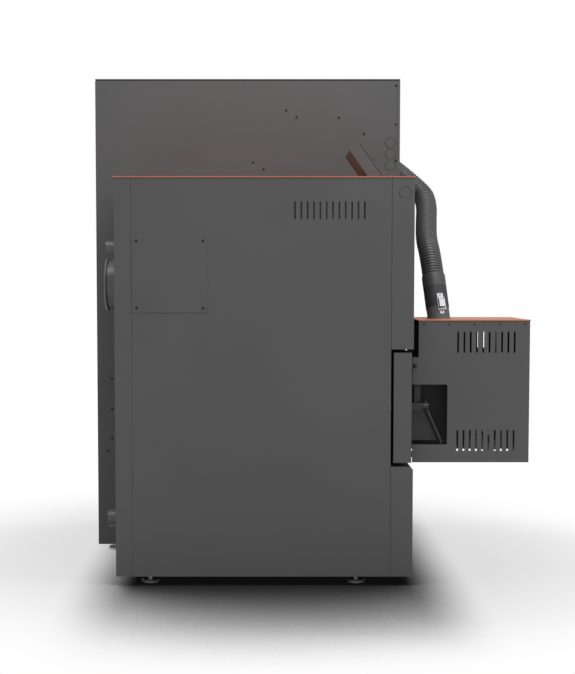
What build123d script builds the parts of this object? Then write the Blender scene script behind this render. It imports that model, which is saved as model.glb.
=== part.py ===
from build123d import *
from math import radians, tan
import os

os.makedirs("parts", exist_ok=True)

# A pellet boiler: the boiler with a burner on its door, and beside it a taller pellet hopper that
# feeds the burner through a ribbed hose. The floor is Z 0, the front faces -Y, the hopper stands on
# the +X side and the origin is on the floor under the middle of the whole. Sizes are millimetres.

# Casing sheets and fasteners
sheet = 1.5
fold = 15
panel_gap = 1
screw_head_radius = 4
screw_head_height = 1.6
screw_radius = 1.5
screw_length = 6
screw_clearance = 0.1
knock_out_diameter = 35
knock_out_cut = 1.2
knock_out_bridge = 4
front_knock_out_depth = 28
front_knock_out_drop = 47

# Boiler casing
boiler_width = 465
boiler_depth = 880
boiler_height = 1210
boiler_underside = 28
top_cover_rim = 3.5
top_cover_gap = 0.5
front_cover_depth = 66
rear_cover_depth = 50
upper_cover_bottom = 704
lower_cover_top = 356
lower_cover_chamfer = 8
vent_slots = 12
vent_pitch = 18.55
vent_width = 4.5
vent_height = 50.5
vent_middle_drop = 99.2
first_vent_depth = 146
access_plate_size = (222, 224)
access_plate_thickness = 1.2
access_plate_depth = 717
access_plate_drop = 286
access_screw_spacing = (195, 197)
access_opening_margin = 32

# Vessel: the water jacket, firebox, tubes and smoke box
insulation_thickness = 30
insulation_gap = 0.5
vent_board_gap = 10
vessel_bottom = 60
vessel_top_drop = 60
vessel_setback = 68
vessel_rear_setback = 40
vessel_plate = 4
firebox_plate = 5
firebox_half_width = 155
firebox_bottom = 80
firebox_top = 720
firebox_rear_gap = 110
shelf_top = 345
shelf_opening = (220, 300)
shelf_opening_depth = 350
door_opening = (236, 293)
door_opening_z = 531.5
ash_opening_width = 260
ash_opening_top = 330
tube_radius = 30
tube_wall = 3.5
tube_pitch = 75
tube_columns = 4
tube_rows = 2
tube_row_depth = 305
tube_row_pitch = 90
smoke_box_height = 110
smoke_box_front_depth = 140
down_duct_half_width = 100
down_duct_drop = 420
down_duct_depth = 100
smoke_opening = (260, 500)
smoke_opening_depth = 440
cleaning_lid_margin = 15
cleaning_lid_thickness = 6
cleaning_grip = (120, 8, 12)
cleaning_grip_gap = (104, 7)
turbulator_width = 32
turbulator_swing = 18
turbulator_steps = 8
turbulator_sheet = 1.5

# Flue and water connections
flue_radius = 75
flue_wall = 3
flue_drop = 316
flue_reach = 49
flue_rim_radius = 81
flue_rim_length = 8
supply_radius = 20
supply_wall = 3.5
supply_drop = 206
supply_offset = -150
supply_reach = 32
return_radius = 26.5
return_wall = 4
return_z = 162
return_reach = 49
pipe_hole_clearance = 2
pipe_shoulder = 1
pipe_shoulder_reach = 4

# Base and feet
rail_width = 40
rail_wall = 3
rail_inset = 61.5
rail_front_depth = 90
rail_rear_depth = 830
boiler_feet_depths = (164, 782)
foot_radius = 27
foot_disc_height = 9
foot_stem_radius = 7
foot_nut_height = 8
foot_clearance = 0.2

# Ash drawer
drawer_length = 530
drawer_sheet = 2
drawer_side_clearance = 5
drawer_height = 202
drawer_bottom = 98
drawer_front_half_width = 150
drawer_front_z = (80, 345)
drawer_front_thickness = 4
drawer_face_gap = 0.3
runner_width = 12
runner_spread = 100
runner_end_gap = 20
drawer_link_height = 100

# Burner door and its handle
door_front_depth = 5
door_thickness = 53
door_z = (368, 694)
door_near_gap = 1.5
door_far_edge = 210
door_plate = 4
door_rim = 3
door_seal_width = 10
door_seal_margin = 3
hinge_x = 222
hinge_reach = 3
hinge_pin_radius = 5
hinge_knuckle_radius = 8
hinge_clearance = 0.05
hinge_knuckle_height = 40
hinge_end_gap = 0.5
hinge_lug_height = 12
hinge_heights = (420, 642)
hinge_strap_length = 52
handle_x = -146
handle_z = 528
spindle_radius = 6
spindle_clearance = 0.1
handle_hub_radius = 11
handle_hub_reach = (38, 54)
handle_tip_reach = 92
handle_drop = 104
handle_radius = 6
claw_length = 44
claw_thickness = 5
claw_height = 16
claw_gap = 3
bracket_thickness = 16
bracket_reaches = (40, 86)
bracket_ear_reaches = (14, 32)
bracket_ear_top = 592
stop_pin_rise = 14
stop_pin_radius = 3
stop_pin_length = 8

# Burner
burner_z = 531
burner_tube_radius = 65
burner_tube_wall = 4
burner_tube_depth = 215
burner_tube_clearance = 1
burner_flange = (190, 190)
burner_flange_thickness = 6
burner_half_width = 80
burner_reach = 190
burner_wall = 3
burner_bottom = 400
burner_top = 611
inlet_reach = 106.8
spigot_radius = 35
spigot_wall = 2.5
spigot_bend_z = 770
spigot_bend_radius = 60
screw_tube_radius = 34
screw_tube_wall = 3
screw_tube_depth = 70
burner_screw_radius = 29.5
burner_screw_shaft = 8
burner_screw_pitch = 45
flight_thickness = 3
shaft_clearance = 0.05
fan_radius = 55
fan_half_width = 45
fan_wall = 2
fan_reach = 255
fan_z = 435
fan_wheel_radius = 45
fan_wheel_width = 60
fan_blades = 24
terminal_box = (120, 43, 146)
terminal_box_reach = 143

# Burner cover
cover_width = 321
cover_reach = 356
cover_rear_reach = 5
cover_notch_reach = 23
cover_notch_z = 677
cover_z = (360, 786)
cover_top_thickness = 3
cover_top_overhang = 2
cover_flange = 12
cover_slots = 10
cover_slot_pitch = 18.8
cover_slot_width = 5.5
cover_slot_height = 62.5
cover_slot_first_reach = 141
cover_slot_heights = (722, 426)
window_reach = 110
window_z = (414, 595)
cover_screw_reaches = (39, 113, 190, 267, 342)
cover_screw_z = 775.5
cover_screw_radius = 2.6
thumb_screw_reach = 12
thumb_screw_z = 651
thumb_screw_radius = 6.5
thumb_screw_height = 5
tab_heights = (651, 385)
tab_size = 20

# Controller
controller_width = 220
controller_depths = (70, 146, 182.5, 121)
controller_tops = (1318, 1298)
fascia_thickness = 5
fascia_gap = 2
fascia_gap_inset = 4
controller_wall = 2
display_size = (110, 64)
display_height = 76
display_recess = 2
knob_x = 82
knob_height = 76
knob_radius = 14
knob_length = 14
knob_shaft_radius = 3
switch_x = -84
switch_height = 76
switch_size = (14, 20)
switch_clearance = 1
switch_travel = 12
switch_pivot_length = 15
switch_pivot_radius = 1.5

# Hopper
cabinet_gap = 25
hopper_width = 560
hopper_depth = 1000
hopper_height = 1566
hopper_underside = 26.5
hopper_lead = 6
hopper_flange = 9
lid_lip = 4
lid_gap = 2
lid_edge_gap = 0.5
lid_rim_height = 16
lid_rim_inset = 4
hinge_barrel_radius = 3
hinge_wire_radius = 1.2
hinge_leaf_height = 28
hinge_leaf_thickness = 1.2
lid_hinge_length = 70
lid_hinge_inset = 90
hopper_feet_inset = 60
hopper_feet_depths = (80, 940)
base_pan_height = 34
floor_sheet = 2
floor_low_z = 217
floor_flat_depth = 870
floor_angle = 43
hopper_knock_out_drops = (208, 244, 282)
knock_out_depth = 25
front_screw_drops = (21, 147, 265)
front_screw_depth = 7
rear_screws = ((946, 581), (946, 481), (947, 383), (961, 340))

# Feeder in the hopper
feeder_inset = 50
feeder_head_depth = 170.8
feeder_head_drop = 167.2
feeder_low_depth = 887.4
feeder_low_z = 278.3
outlet_depth = 12
outlet_drop = 288
feeder_tube_radius = 45
feeder_tube_wall = 3
feeder_high = 60
feeder_inlet = (20, 150)
feeder_screw_radius = 40
feeder_shaft_radius = 10
feeder_pitch = 60
tie_bar_offset = 181
tie_bar_places = (-51, -252)
tie_bar_size = (60, 30)
tie_bar_sheet = 3
tie_screw_spacing = 40.4
saddle_place = 22.5
saddle_offset = -6
saddle_size = (124, 20)
saddle_screw_spacing = 98
motor_box = (76, 76, 50)
motor_radius = 34
motor_length = 40

# Pellet hose and its toggle latch
hose_radius = 34
hose_valley_radius = 31.5
hose_end_radius = 33
hose_collar_radius = 36.6
hose_bore_radius = 29
hose_first_run = 122
hose_last_run = 109
hose_end_rise = 96
hose_rib_pitch = 9
hose_rib_crest = 4
hose_rib_slope = 1.5
hose_plain_end = 45
cuff_radius = 36.2
cuff_neck = 20
cuff_neck_wall = 2
neck_clearance = 0.1
cuff_below = 66
cuff_lip = 4
latch_turn = 12

# Places that several pieces share
near_proud = access_plate_thickness + screw_head_height
span_x = near_proud + boiler_width + cabinet_gap + hopper_width + screw_head_height
near_x = near_proud - span_x / 2
boiler_x = near_x + boiler_width / 2
boiler_far_x = near_x + boiler_width
hopper_x = boiler_far_x + cabinet_gap
hopper_far_x = hopper_x + hopper_width
front_reach = cover_reach + cover_top_overhang
rear_reach = hopper_depth - hopper_lead + 2 * hinge_barrel_radius
front_y = (front_reach - rear_reach) / 2
casing_top = boiler_height - sheet
vent_middle_z = boiler_height - vent_middle_drop
access_plate_z = boiler_height - access_plate_drop
vessel_top = boiler_height - vessel_top_drop
smoke_box_bottom = vessel_top - smoke_box_height
down_duct_bottom = boiler_height - down_duct_drop
flue_z = boiler_height - flue_drop
supply_z = boiler_height - supply_drop
ash_opening_z = (firebox_bottom + firebox_plate, ash_opening_top)
supply_body_radius = supply_radius + pipe_shoulder
return_body_radius = return_radius + pipe_shoulder
vessel_half_width = boiler_width / 2 - sheet - insulation_thickness
panel_depths = (front_cover_depth + panel_gap / 2, boiler_depth - rear_cover_depth - panel_gap / 2)


def behind(depth):
    """Y of a place that far behind the boiler's front face."""
    return front_y + depth


def ahead(reach):
    """Y of a place that far in front of the boiler's front face."""
    return front_y - reach


def around(middle, size):
    """The two limits of a size laid evenly about a middle."""
    return (middle - size / 2, middle + size / 2)


def block(x, y, z, mode=Mode.ADD):
    """A box between two X, two Y and two Z limits."""
    (x0, x1), (y0, y1), (z0, z1) = sorted(x), sorted(y), sorted(z)
    with Locations(((x0 + x1) / 2, (y0 + y1) / 2, (z0 + z1) / 2)):
        Box(x1 - x0, y1 - y0, z1 - z0, mode=mode)


def rod(along, start, length, radius, mode=Mode.ADD):
    """A round bar that starts at a point and runs along +X, +Y or +Z."""
    turn = {"X": (0, 90, 0), "Y": (-90, 0, 0), "Z": (0, 0, 0)}[along]
    with Locations(start):
        Cylinder(radius, length, rotation=turn, align=(Align.CENTER, Align.CENTER, Align.MIN), mode=mode)


def tray(x, y, z, opening, wall=sheet):
    """A folded sheet tray: a box hollowed from one side, the side that opening names."""
    block(x, y, z)
    hollow = {
        "X": (min(x) + wall, max(x) - wall),
        "Y": (min(y) + wall, max(y) - wall),
        "Z": (min(z) + wall, max(z) - wall),
    }
    outer = {"X": x, "Y": y, "Z": z}
    axis = opening[1]
    if opening[0] == "+":
        hollow[axis] = (hollow[axis][0], max(outer[axis]))
    else:
        hollow[axis] = (min(outer[axis]), hollow[axis][1])
    block(hollow["X"], hollow["Y"], hollow["Z"], mode=Mode.SUBTRACT)


def finish(piece, name):
    """Labels a finished piece and writes it."""
    piece.part.label = name
    export_step(piece.part, f"parts/{name}.step")


def side_screws(places, face_x, outward, head_radius=screw_head_radius, head_height=screw_head_height):
    """Pan-head screws in a side panel's outer face; places are (Y, Z) pairs."""
    for y, z in places:
        head_x = face_x if outward > 0 else face_x - head_height
        shank_x = face_x - screw_length if outward > 0 else face_x
        rod("X", (head_x, y, z), head_height, head_radius)
        rod("X", (shank_x, y, z), screw_length, screw_radius)


def side_screw_holes(places, face_x, outward):
    """Clearance holes for side screws, through whatever lies behind the face."""
    start_x = face_x - 2 * screw_length if outward > 0 else face_x
    for y, z in places:
        rod("X", (start_x, y, z), 2 * screw_length, screw_radius + screw_clearance, mode=Mode.SUBTRACT)


# Cutter for a knock-out: a ring cut through the sheet, bridged at two places.
with BuildPart() as knock_out_cut_out:
    with BuildSketch(Plane.YZ):
        Circle(knock_out_diameter / 2)
        Circle(knock_out_diameter / 2 - knock_out_cut, mode=Mode.SUBTRACT)
        Rectangle(knock_out_bridge, knock_out_diameter, mode=Mode.SUBTRACT)
    extrude(amount=2 * sheet, both=True)

# Base frame: a ring of square tube under the vessel
rail_y = (behind(rail_front_depth), behind(rail_rear_depth))
rail_z = (boiler_underside, vessel_bottom)
feet_x = boiler_width / 2 - rail_inset
with BuildPart() as base_frame:
    block(around(boiler_x, 2 * feet_x + rail_width), rail_y, rail_z)
    block(
        around(boiler_x, 2 * feet_x - rail_width),
        (rail_y[0] + rail_width, rail_y[1] - rail_width),
        rail_z,
        mode=Mode.SUBTRACT,
    )
    for side in (-1, 1):
        block(
            around(boiler_x + side * feet_x, rail_width - 2 * rail_wall),
            (rail_y[0] + rail_wall, rail_y[1] - rail_wall),
            (rail_z[0] + rail_wall, rail_z[1] - rail_wall),
            mode=Mode.SUBTRACT,
        )
        for depth in boiler_feet_depths:
            rod(
                "Z",
                (boiler_x + side * feet_x, behind(depth), rail_z[0]),
                rail_wall,
                foot_stem_radius + foot_clearance,
                mode=Mode.SUBTRACT,
            )
finish(base_frame, "base_frame")

# Levelling feet: eight discs on threaded stems with a lock nut below what they carry
boiler_feet = [
    (boiler_x + side * feet_x, behind(depth), boiler_underside + rail_wall)
    for side in (-1, 1)
    for depth in boiler_feet_depths
]
hopper_feet = [
    (x, behind(depth), hopper_underside + floor_sheet)
    for x in (hopper_x + hopper_feet_inset, hopper_far_x - hopper_feet_inset)
    for depth in hopper_feet_depths
]
with BuildPart() as levelling_feet:
    for x, y, seat_z in boiler_feet + hopper_feet:
        rod("Z", (x, y, 0), foot_disc_height, foot_radius)
        rod("Z", (x, y, 0), seat_z + foot_nut_height, foot_stem_radius)
        with BuildSketch(Plane.XY.offset(seat_z)):
            with Locations((x, y)):
                RegularPolygon(foot_stem_radius * 1.6, 6)
        extrude(amount=foot_nut_height)
    rims = levelling_feet.edges().filter_by(GeomType.CIRCLE).group_by(SortBy.RADIUS)[-1]
    chamfer(rims.group_by(Axis.Z)[-1], 2.5)
finish(levelling_feet, "levelling_feet")

# Water jacket: the outer vessel, with openings for the door, the ash drawer, cleaning and pipes
vessel_x = (boiler_x - vessel_half_width, boiler_x + vessel_half_width)
vessel_y = (behind(vessel_setback), behind(boiler_depth - vessel_rear_setback))
vessel_inner_front = vessel_y[0] + vessel_plate
vessel_inner_rear = vessel_y[1] - vessel_plate
supply_x = boiler_x + supply_offset
with BuildPart() as water_jacket:
    block(vessel_x, vessel_y, (vessel_bottom, vessel_top))
    block(
        (vessel_x[0] + vessel_plate, vessel_x[1] - vessel_plate),
        (vessel_inner_front, vessel_inner_rear),
        (vessel_bottom + vessel_plate, vessel_top - vessel_plate),
        mode=Mode.SUBTRACT,
    )
    front_wall = (vessel_y[0], vessel_inner_front)
    block(around(boiler_x, door_opening[0]), front_wall, around(door_opening_z, door_opening[1]), Mode.SUBTRACT)
    block(around(boiler_x, ash_opening_width), front_wall, ash_opening_z, Mode.SUBTRACT)
    block(
        around(boiler_x, smoke_opening[0]),
        around(behind(smoke_opening_depth), smoke_opening[1]),
        (vessel_top - vessel_plate, vessel_top),
        mode=Mode.SUBTRACT,
    )
    rod("Y", (boiler_x, vessel_inner_rear, flue_z), vessel_plate, flue_radius, mode=Mode.SUBTRACT)
    rod("Y", (supply_x, vessel_inner_rear, supply_z), vessel_plate, supply_body_radius, mode=Mode.SUBTRACT)
    rod("Y", (boiler_x, vessel_inner_rear, return_z), vessel_plate, return_body_radius, mode=Mode.SUBTRACT)
finish(water_jacket, "water_jacket")

# Firebox over the ash chamber, with a slotted shelf between them and holes for the fire tubes
firebox_y = (vessel_inner_front, behind(boiler_depth - vessel_rear_setback - firebox_rear_gap))
tube_places = [
    (boiler_x + (column - (tube_columns - 1) / 2) * tube_pitch, behind(tube_row_depth + (row - 0.5) * tube_row_pitch))
    for row in range(tube_rows)
    for column in range(tube_columns)
]
with BuildPart() as firebox:
    block(around(boiler_x, 2 * firebox_half_width), firebox_y, (firebox_bottom, firebox_top))
    inner_x = around(boiler_x, 2 * (firebox_half_width - firebox_plate))
    inner_y = (firebox_y[0], firebox_y[1] - firebox_plate)
    shelf_bottom = shelf_top - firebox_plate
    block(inner_x, inner_y, (firebox_bottom + firebox_plate, shelf_bottom), mode=Mode.SUBTRACT)
    block(inner_x, inner_y, (shelf_top, firebox_top - firebox_plate), mode=Mode.SUBTRACT)
    block(
        around(boiler_x, shelf_opening[0]),
        around(behind(shelf_opening_depth), shelf_opening[1]),
        (shelf_bottom, shelf_top),
        mode=Mode.SUBTRACT,
    )
    for x, y in tube_places:
        rod("Z", (x, y, firebox_top - firebox_plate), firebox_plate, tube_radius, mode=Mode.SUBTRACT)
finish(firebox, "firebox")

# Smoke box on top and its duct down to the flue
smoke_floor = smoke_box_bottom + vessel_plate
smoke_top = vessel_top - vessel_plate
duct_y = (vessel_inner_rear - down_duct_depth, vessel_inner_rear)
with BuildPart() as smoke_box:
    smoke_x = around(boiler_x, 2 * firebox_half_width)
    smoke_y = (behind(smoke_box_front_depth), vessel_inner_rear)
    block(smoke_x, smoke_y, (smoke_box_bottom, smoke_top))
    block(around(boiler_x, 2 * down_duct_half_width), duct_y, (down_duct_bottom, smoke_box_bottom))
    block(
        (smoke_x[0] + vessel_plate, smoke_x[1] - vessel_plate),
        (smoke_y[0] + vessel_plate, smoke_y[1]),
        (smoke_floor, smoke_top),
        mode=Mode.SUBTRACT,
    )
    block(
        around(boiler_x, 2 * (down_duct_half_width - vessel_plate)),
        (duct_y[0] + vessel_plate, duct_y[1]),
        (down_duct_bottom + vessel_plate, smoke_floor),
        mode=Mode.SUBTRACT,
    )
    for x, y in tube_places:
        rod("Z", (x, y, smoke_box_bottom), vessel_plate, tube_radius, mode=Mode.SUBTRACT)
finish(smoke_box, "smoke_box")

# Fire tubes from the firebox roof to the smoke box floor
tube_bottom = firebox_top - firebox_plate
with BuildPart() as fire_tubes:
    for x, y in tube_places:
        rod("Z", (x, y, tube_bottom), smoke_floor - tube_bottom, tube_radius)
    for x, y in tube_places:
        rod("Z", (x, y, tube_bottom), smoke_floor - tube_bottom, tube_radius - tube_wall, mode=Mode.SUBTRACT)
finish(fire_tubes, "fire_tubes")

# Turbulators: zig-zag strips that hang in the tubes from a cross bar
turbulator_bottom = tube_bottom + 20
turbulator_step = (smoke_floor - turbulator_bottom) / turbulator_steps
with BuildPart() as turbulator:
    swings = [turbulator_swing * (-1) ** step for step in range(turbulator_steps)] + [0]
    heights = [turbulator_bottom + step * turbulator_step for step in range(turbulator_steps + 1)]
    with BuildSketch(Plane.XZ):
        with BuildLine():
            right = [(swing + turbulator_sheet, z) for swing, z in zip(swings, heights)]
            left = [(swing - turbulator_sheet, z) for swing, z in zip(swings, heights)]
            Polyline(*right, *reversed(left), close=True)
        make_face()
    extrude(amount=turbulator_width / 2, both=True)
    block((-tube_radius, tube_radius), (-turbulator_width / 4, turbulator_width / 4), (smoke_floor, smoke_floor + 3))
with BuildPart() as turbulators:
    with Locations(*[(x, y, 0) for x, y in tube_places]):
        add(turbulator.part)
finish(turbulators, "turbulators")

# Cleaning lid of the smoke box, with two low grips
lid_length = smoke_opening[1] + 2 * cleaning_lid_margin
lid_y = behind(smoke_opening_depth)
with BuildPart() as cleaning_lid:
    block(
        around(boiler_x, smoke_opening[0] + 2 * cleaning_lid_margin),
        around(lid_y, lid_length),
        (vessel_top, vessel_top + cleaning_lid_thickness),
    )
    grip_z = vessel_top + cleaning_lid_thickness
    for end in (-1, 1):
        grip_y = around(lid_y + end * lid_length / 3, cleaning_grip[1])
        block(around(boiler_x, cleaning_grip[0]), grip_y, (grip_z, grip_z + cleaning_grip[2]))
        block(
            around(boiler_x, cleaning_grip_gap[0]),
            grip_y,
            (grip_z, grip_z + cleaning_grip_gap[1]),
            mode=Mode.SUBTRACT,
        )
finish(cleaning_lid, "cleaning_lid")

# Flue spigot with its rolled rim
rear_face = behind(boiler_depth)
flue_length = rear_face + flue_reach - vessel_inner_rear
with BuildPart() as flue_spigot:
    rod("Y", (boiler_x, vessel_inner_rear, flue_z), flue_length, flue_radius)
    rod("Y", (boiler_x, rear_face + flue_reach - flue_rim_length, flue_z), flue_rim_length, flue_rim_radius)
    rod("Y", (boiler_x, vessel_inner_rear, flue_z), flue_length, flue_radius - flue_wall, mode=Mode.SUBTRACT)
    rim_edges = flue_spigot.edges().filter_by(GeomType.CIRCLE).group_by(SortBy.RADIUS)[-1]
    fillet(rim_edges, flue_rim_length * 0.45)
finish(flue_spigot, "flue_spigot")

# Water pipes: the supply high up and the return low down, each with a turned-down end
shoulder_y = rear_face + pipe_shoulder_reach
with BuildPart() as supply_pipe:
    supply_start = (supply_x, vessel_inner_rear, supply_z)
    supply_length = rear_face + supply_reach - vessel_inner_rear
    rod("Y", supply_start, shoulder_y - vessel_inner_rear, supply_body_radius)
    rod("Y", supply_start, supply_length, supply_radius)
    rod("Y", supply_start, supply_length, supply_radius - supply_wall, mode=Mode.SUBTRACT)
finish(supply_pipe, "supply_pipe")

with BuildPart() as return_pipe:
    return_start = (boiler_x, vessel_inner_rear, return_z)
    return_length = rear_face + return_reach - vessel_inner_rear
    rod("Y", return_start, shoulder_y - vessel_inner_rear, return_body_radius)
    rod("Y", return_start, return_length, return_radius)
    rod("Y", return_start, return_length, return_radius - return_wall, mode=Mode.SUBTRACT)
finish(return_pipe, "return_pipe")

# Mineral wool boards between the vessel and the casing
access_screws = [
    (behind(access_plate_depth + i * access_screw_spacing[0] / 2), access_plate_z + k * access_screw_spacing[1] / 2)
    for i in (-1, 1)
    for k in (-1, 1)
]
side_board_y = (behind(panel_depths[0]) + 2 * sheet, behind(panel_depths[1]) - 2 * sheet)
rear_board_z = (boiler_underside + 2 * sheet, casing_top - 2 * sheet)
side_board_z = (rear_board_z[0], vent_middle_z - vent_height / 2 - vent_board_gap)
with BuildPart() as insulation:
    board = insulation_thickness - 2 * insulation_gap
    for side in (-1, 1):
        board_x = boiler_x + side * (vessel_half_width + insulation_thickness / 2)
        block(around(board_x, board), side_board_y, side_board_z)
    block(
        (vessel_x[0] + sheet, vessel_x[1] - sheet),
        (vessel_y[0], vessel_y[1]),
        (vessel_top + cleaning_lid_thickness + fold, casing_top - 2 * sheet),
    )
    block(
        (near_x + 2 * sheet, boiler_far_x - 2 * sheet),
        (vessel_y[1] + insulation_gap, rear_face - 2 * sheet),
        rear_board_z,
    )
    for x, z, radius in (
        (boiler_x, flue_z, flue_radius),
        (supply_x, supply_z, supply_body_radius),
        (boiler_x, return_z, return_body_radius),
    ):
        rod("Y", (x, vessel_y[1], z), vessel_rear_setback, radius + insulation_gap, mode=Mode.SUBTRACT)
    block(
        (near_x + 2 * sheet, boiler_far_x - 2 * sheet),
        (behind(2 * sheet), behind(front_cover_depth) - insulation_gap),
        (upper_cover_bottom + 2 * sheet, casing_top - 2 * sheet),
    )
    side_screw_holes(access_screws, near_x, -1)
finish(insulation, "insulation")

# Side panels: folded trays with vent slots; the near one has the hole behind the access plate
casing_z = (boiler_underside, casing_top)
panel_y = (behind(panel_depths[0]), behind(panel_depths[1]))


def vent_cuts(face_x):
    """The row of upright vent slots high up in a side panel."""
    with Locations(*[(face_x, behind(first_vent_depth + n * vent_pitch), vent_middle_z) for n in range(vent_slots)]):
        Box(4 * sheet, vent_width, vent_height, mode=Mode.SUBTRACT)


with BuildPart() as near_side_panel:
    tray((near_x, near_x + fold), panel_y, casing_z, "+X")
    vent_cuts(near_x)
    block(
        (near_x, near_x + sheet),
        around(behind(access_plate_depth), access_plate_size[0] - 2 * access_opening_margin),
        around(access_plate_z, access_plate_size[1] - 2 * access_opening_margin),
        mode=Mode.SUBTRACT,
    )
    side_screw_holes(access_screws, near_x, -1)
finish(near_side_panel, "near_side_panel")

with BuildPart() as far_side_panel:
    tray((boiler_far_x - fold, boiler_far_x), panel_y, casing_z, "-X")
    vent_cuts(boiler_far_x)
finish(far_side_panel, "far_side_panel")

with BuildPart() as access_plate:
    block(
        (near_x - access_plate_thickness, near_x),
        around(behind(access_plate_depth), access_plate_size[0]),
        around(access_plate_z, access_plate_size[1]),
    )
    side_screw_holes(access_screws, near_x - access_plate_thickness, -1)
finish(access_plate, "access_plate")

# Rear cover with holes for the flue and the pipes
casing_x = (near_x, boiler_far_x)
with BuildPart() as rear_cover:
    tray(casing_x, (behind(boiler_depth - rear_cover_depth), rear_face), casing_z, "-Y")
    for x, z, radius in (
        (boiler_x, flue_z, flue_radius),
        (supply_x, supply_z, supply_body_radius),
        (boiler_x, return_z, return_body_radius),
    ):
        rod("Y", (x, rear_face - sheet, z), sheet, radius + pipe_hole_clearance, mode=Mode.SUBTRACT)
finish(rear_cover, "rear_cover")

# Front covers: the upper one carries a knock-out, the lower one is the front of the ash drawer
cover_y = (front_y, behind(front_cover_depth - panel_gap / 2))
with BuildPart() as upper_front_cover:
    tray(casing_x, cover_y, (upper_cover_bottom, casing_top), "+Y")
    with Locations((near_x, behind(front_knock_out_depth), boiler_height - front_knock_out_drop)):
        add(knock_out_cut_out.part, mode=Mode.SUBTRACT)
finish(upper_front_cover, "upper_front_cover")

with BuildPart() as lower_front_cover:
    block(casing_x, cover_y, (boiler_underside, lower_cover_top))
    top_edge = lower_front_cover.edges().filter_by(Axis.X).group_by(Axis.Z)[-1].sort_by(Axis.Y)[0]
    chamfer(top_edge, lower_cover_chamfer)
    back = lower_front_cover.faces().sort_by(Axis.Y)[-1]
    offset(amount=-sheet, openings=back, kind=Kind.INTERSECTION)
finish(lower_front_cover, "lower_front_cover")

# Top cover: a flat sheet with a low rim that hangs just outside the casing
top_cover_overhang = top_cover_gap + sheet
with BuildPart() as top_cover:
    tray(
        (near_x - top_cover_overhang, boiler_far_x + top_cover_overhang),
        (front_y - top_cover_overhang, rear_face + top_cover_overhang),
        (boiler_height - top_cover_rim, boiler_height),
        "-Z",
    )
finish(top_cover, "top_cover")

# Ash drawer: a sheet box on two runners behind a sealing plate that carries the lower front cover
drawer_front_y = vessel_y[0] - drawer_face_gap
drawer_half_width = ash_opening_width / 2 - drawer_side_clearance
with BuildPart() as ash_drawer:
    tray(
        around(boiler_x, 2 * drawer_half_width),
        (drawer_front_y - drawer_front_thickness, drawer_front_y + drawer_length),
        (drawer_bottom, drawer_bottom + drawer_height),
        "+Z",
        wall=drawer_sheet,
    )
    block(
        around(boiler_x, 2 * drawer_front_half_width),
        (drawer_front_y - drawer_front_thickness, drawer_front_y),
        drawer_front_z,
    )
    for side in (-1, 1):
        block(
            around(boiler_x + side * runner_spread, runner_width),
            (drawer_front_y + runner_end_gap, drawer_front_y + drawer_length - runner_end_gap),
            (firebox_bottom + firebox_plate + drawer_face_gap, drawer_bottom),
        )
        block(
            around(boiler_x + side * runner_spread, drawer_front_thickness),
            (front_y + sheet, drawer_front_y - drawer_front_thickness),
            around(sum(ash_opening_z) / 2, drawer_link_height),
        )
finish(ash_drawer, "ash_drawer")

# Door hinges: lugs on the vessel's front plate that hold an upright pin
hinge_axis = (boiler_x + hinge_x, ahead(hinge_reach))
lug_x = (hinge_axis[0] - hinge_knuckle_radius, hinge_axis[0] + hinge_knuckle_radius)
lug_foot_x = (boiler_x + vessel_half_width - 20, boiler_x + vessel_half_width)
lug_rear = behind(front_cover_depth)
with BuildPart() as door_hinges:
    for middle in hinge_heights:
        half = hinge_knuckle_height / 2 + hinge_end_gap
        for low in (middle - half - hinge_lug_height, middle + half):
            lug_z = (low, low + hinge_lug_height)
            rod("Z", (*hinge_axis, low), hinge_lug_height, hinge_knuckle_radius)
            block(lug_x, (hinge_axis[1], lug_rear), lug_z)
            block((lug_foot_x[0], lug_x[1]), (lug_rear - hinge_lug_height / 2, lug_rear), lug_z)
            block(lug_foot_x, (lug_rear - hinge_lug_height / 2, vessel_y[0]), lug_z)
        reach = half + hinge_lug_height + 4
        rod("Z", (*hinge_axis, middle - reach), 2 * reach, hinge_pin_radius)
finish(door_hinges, "door_hinges")

# Burner door: a pan with two hinge straps and holes for the burner and the handle spindle
door_x = (near_x + door_near_gap, boiler_x + door_far_edge)
door_y = (behind(door_front_depth), behind(door_front_depth + door_thickness))
door_tube_radius = burner_tube_radius + burner_tube_clearance
handle_axis_x = boiler_x + handle_x
with BuildPart() as burner_door:
    block(door_x, door_y, door_z)
    block(
        (door_x[0] + door_rim, door_x[1] - door_rim),
        (door_y[0] + door_plate, door_y[1]),
        (door_z[0] + door_rim, door_z[1] - door_rim),
        mode=Mode.SUBTRACT,
    )
    for middle in hinge_heights:
        knuckle_z = middle - hinge_knuckle_height / 2
        strap_x = (hinge_axis[0] - hinge_strap_length, hinge_axis[0])
        block(strap_x, (hinge_axis[1], door_y[0]), around(middle, hinge_knuckle_height))
        rod("Z", (*hinge_axis, knuckle_z), hinge_knuckle_height, hinge_knuckle_radius)
        pin_hole = hinge_pin_radius + hinge_clearance
        rod("Z", (*hinge_axis, knuckle_z), hinge_knuckle_height, pin_hole, mode=Mode.SUBTRACT)
    rod("Y", (boiler_x, door_y[0], burner_z), door_plate, door_tube_radius, mode=Mode.SUBTRACT)
    spindle_hole = spindle_radius + spindle_clearance
    rod("Y", (handle_axis_x, door_y[0], handle_z), door_plate, spindle_hole, mode=Mode.SUBTRACT)
finish(burner_door, "burner_door")

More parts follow.
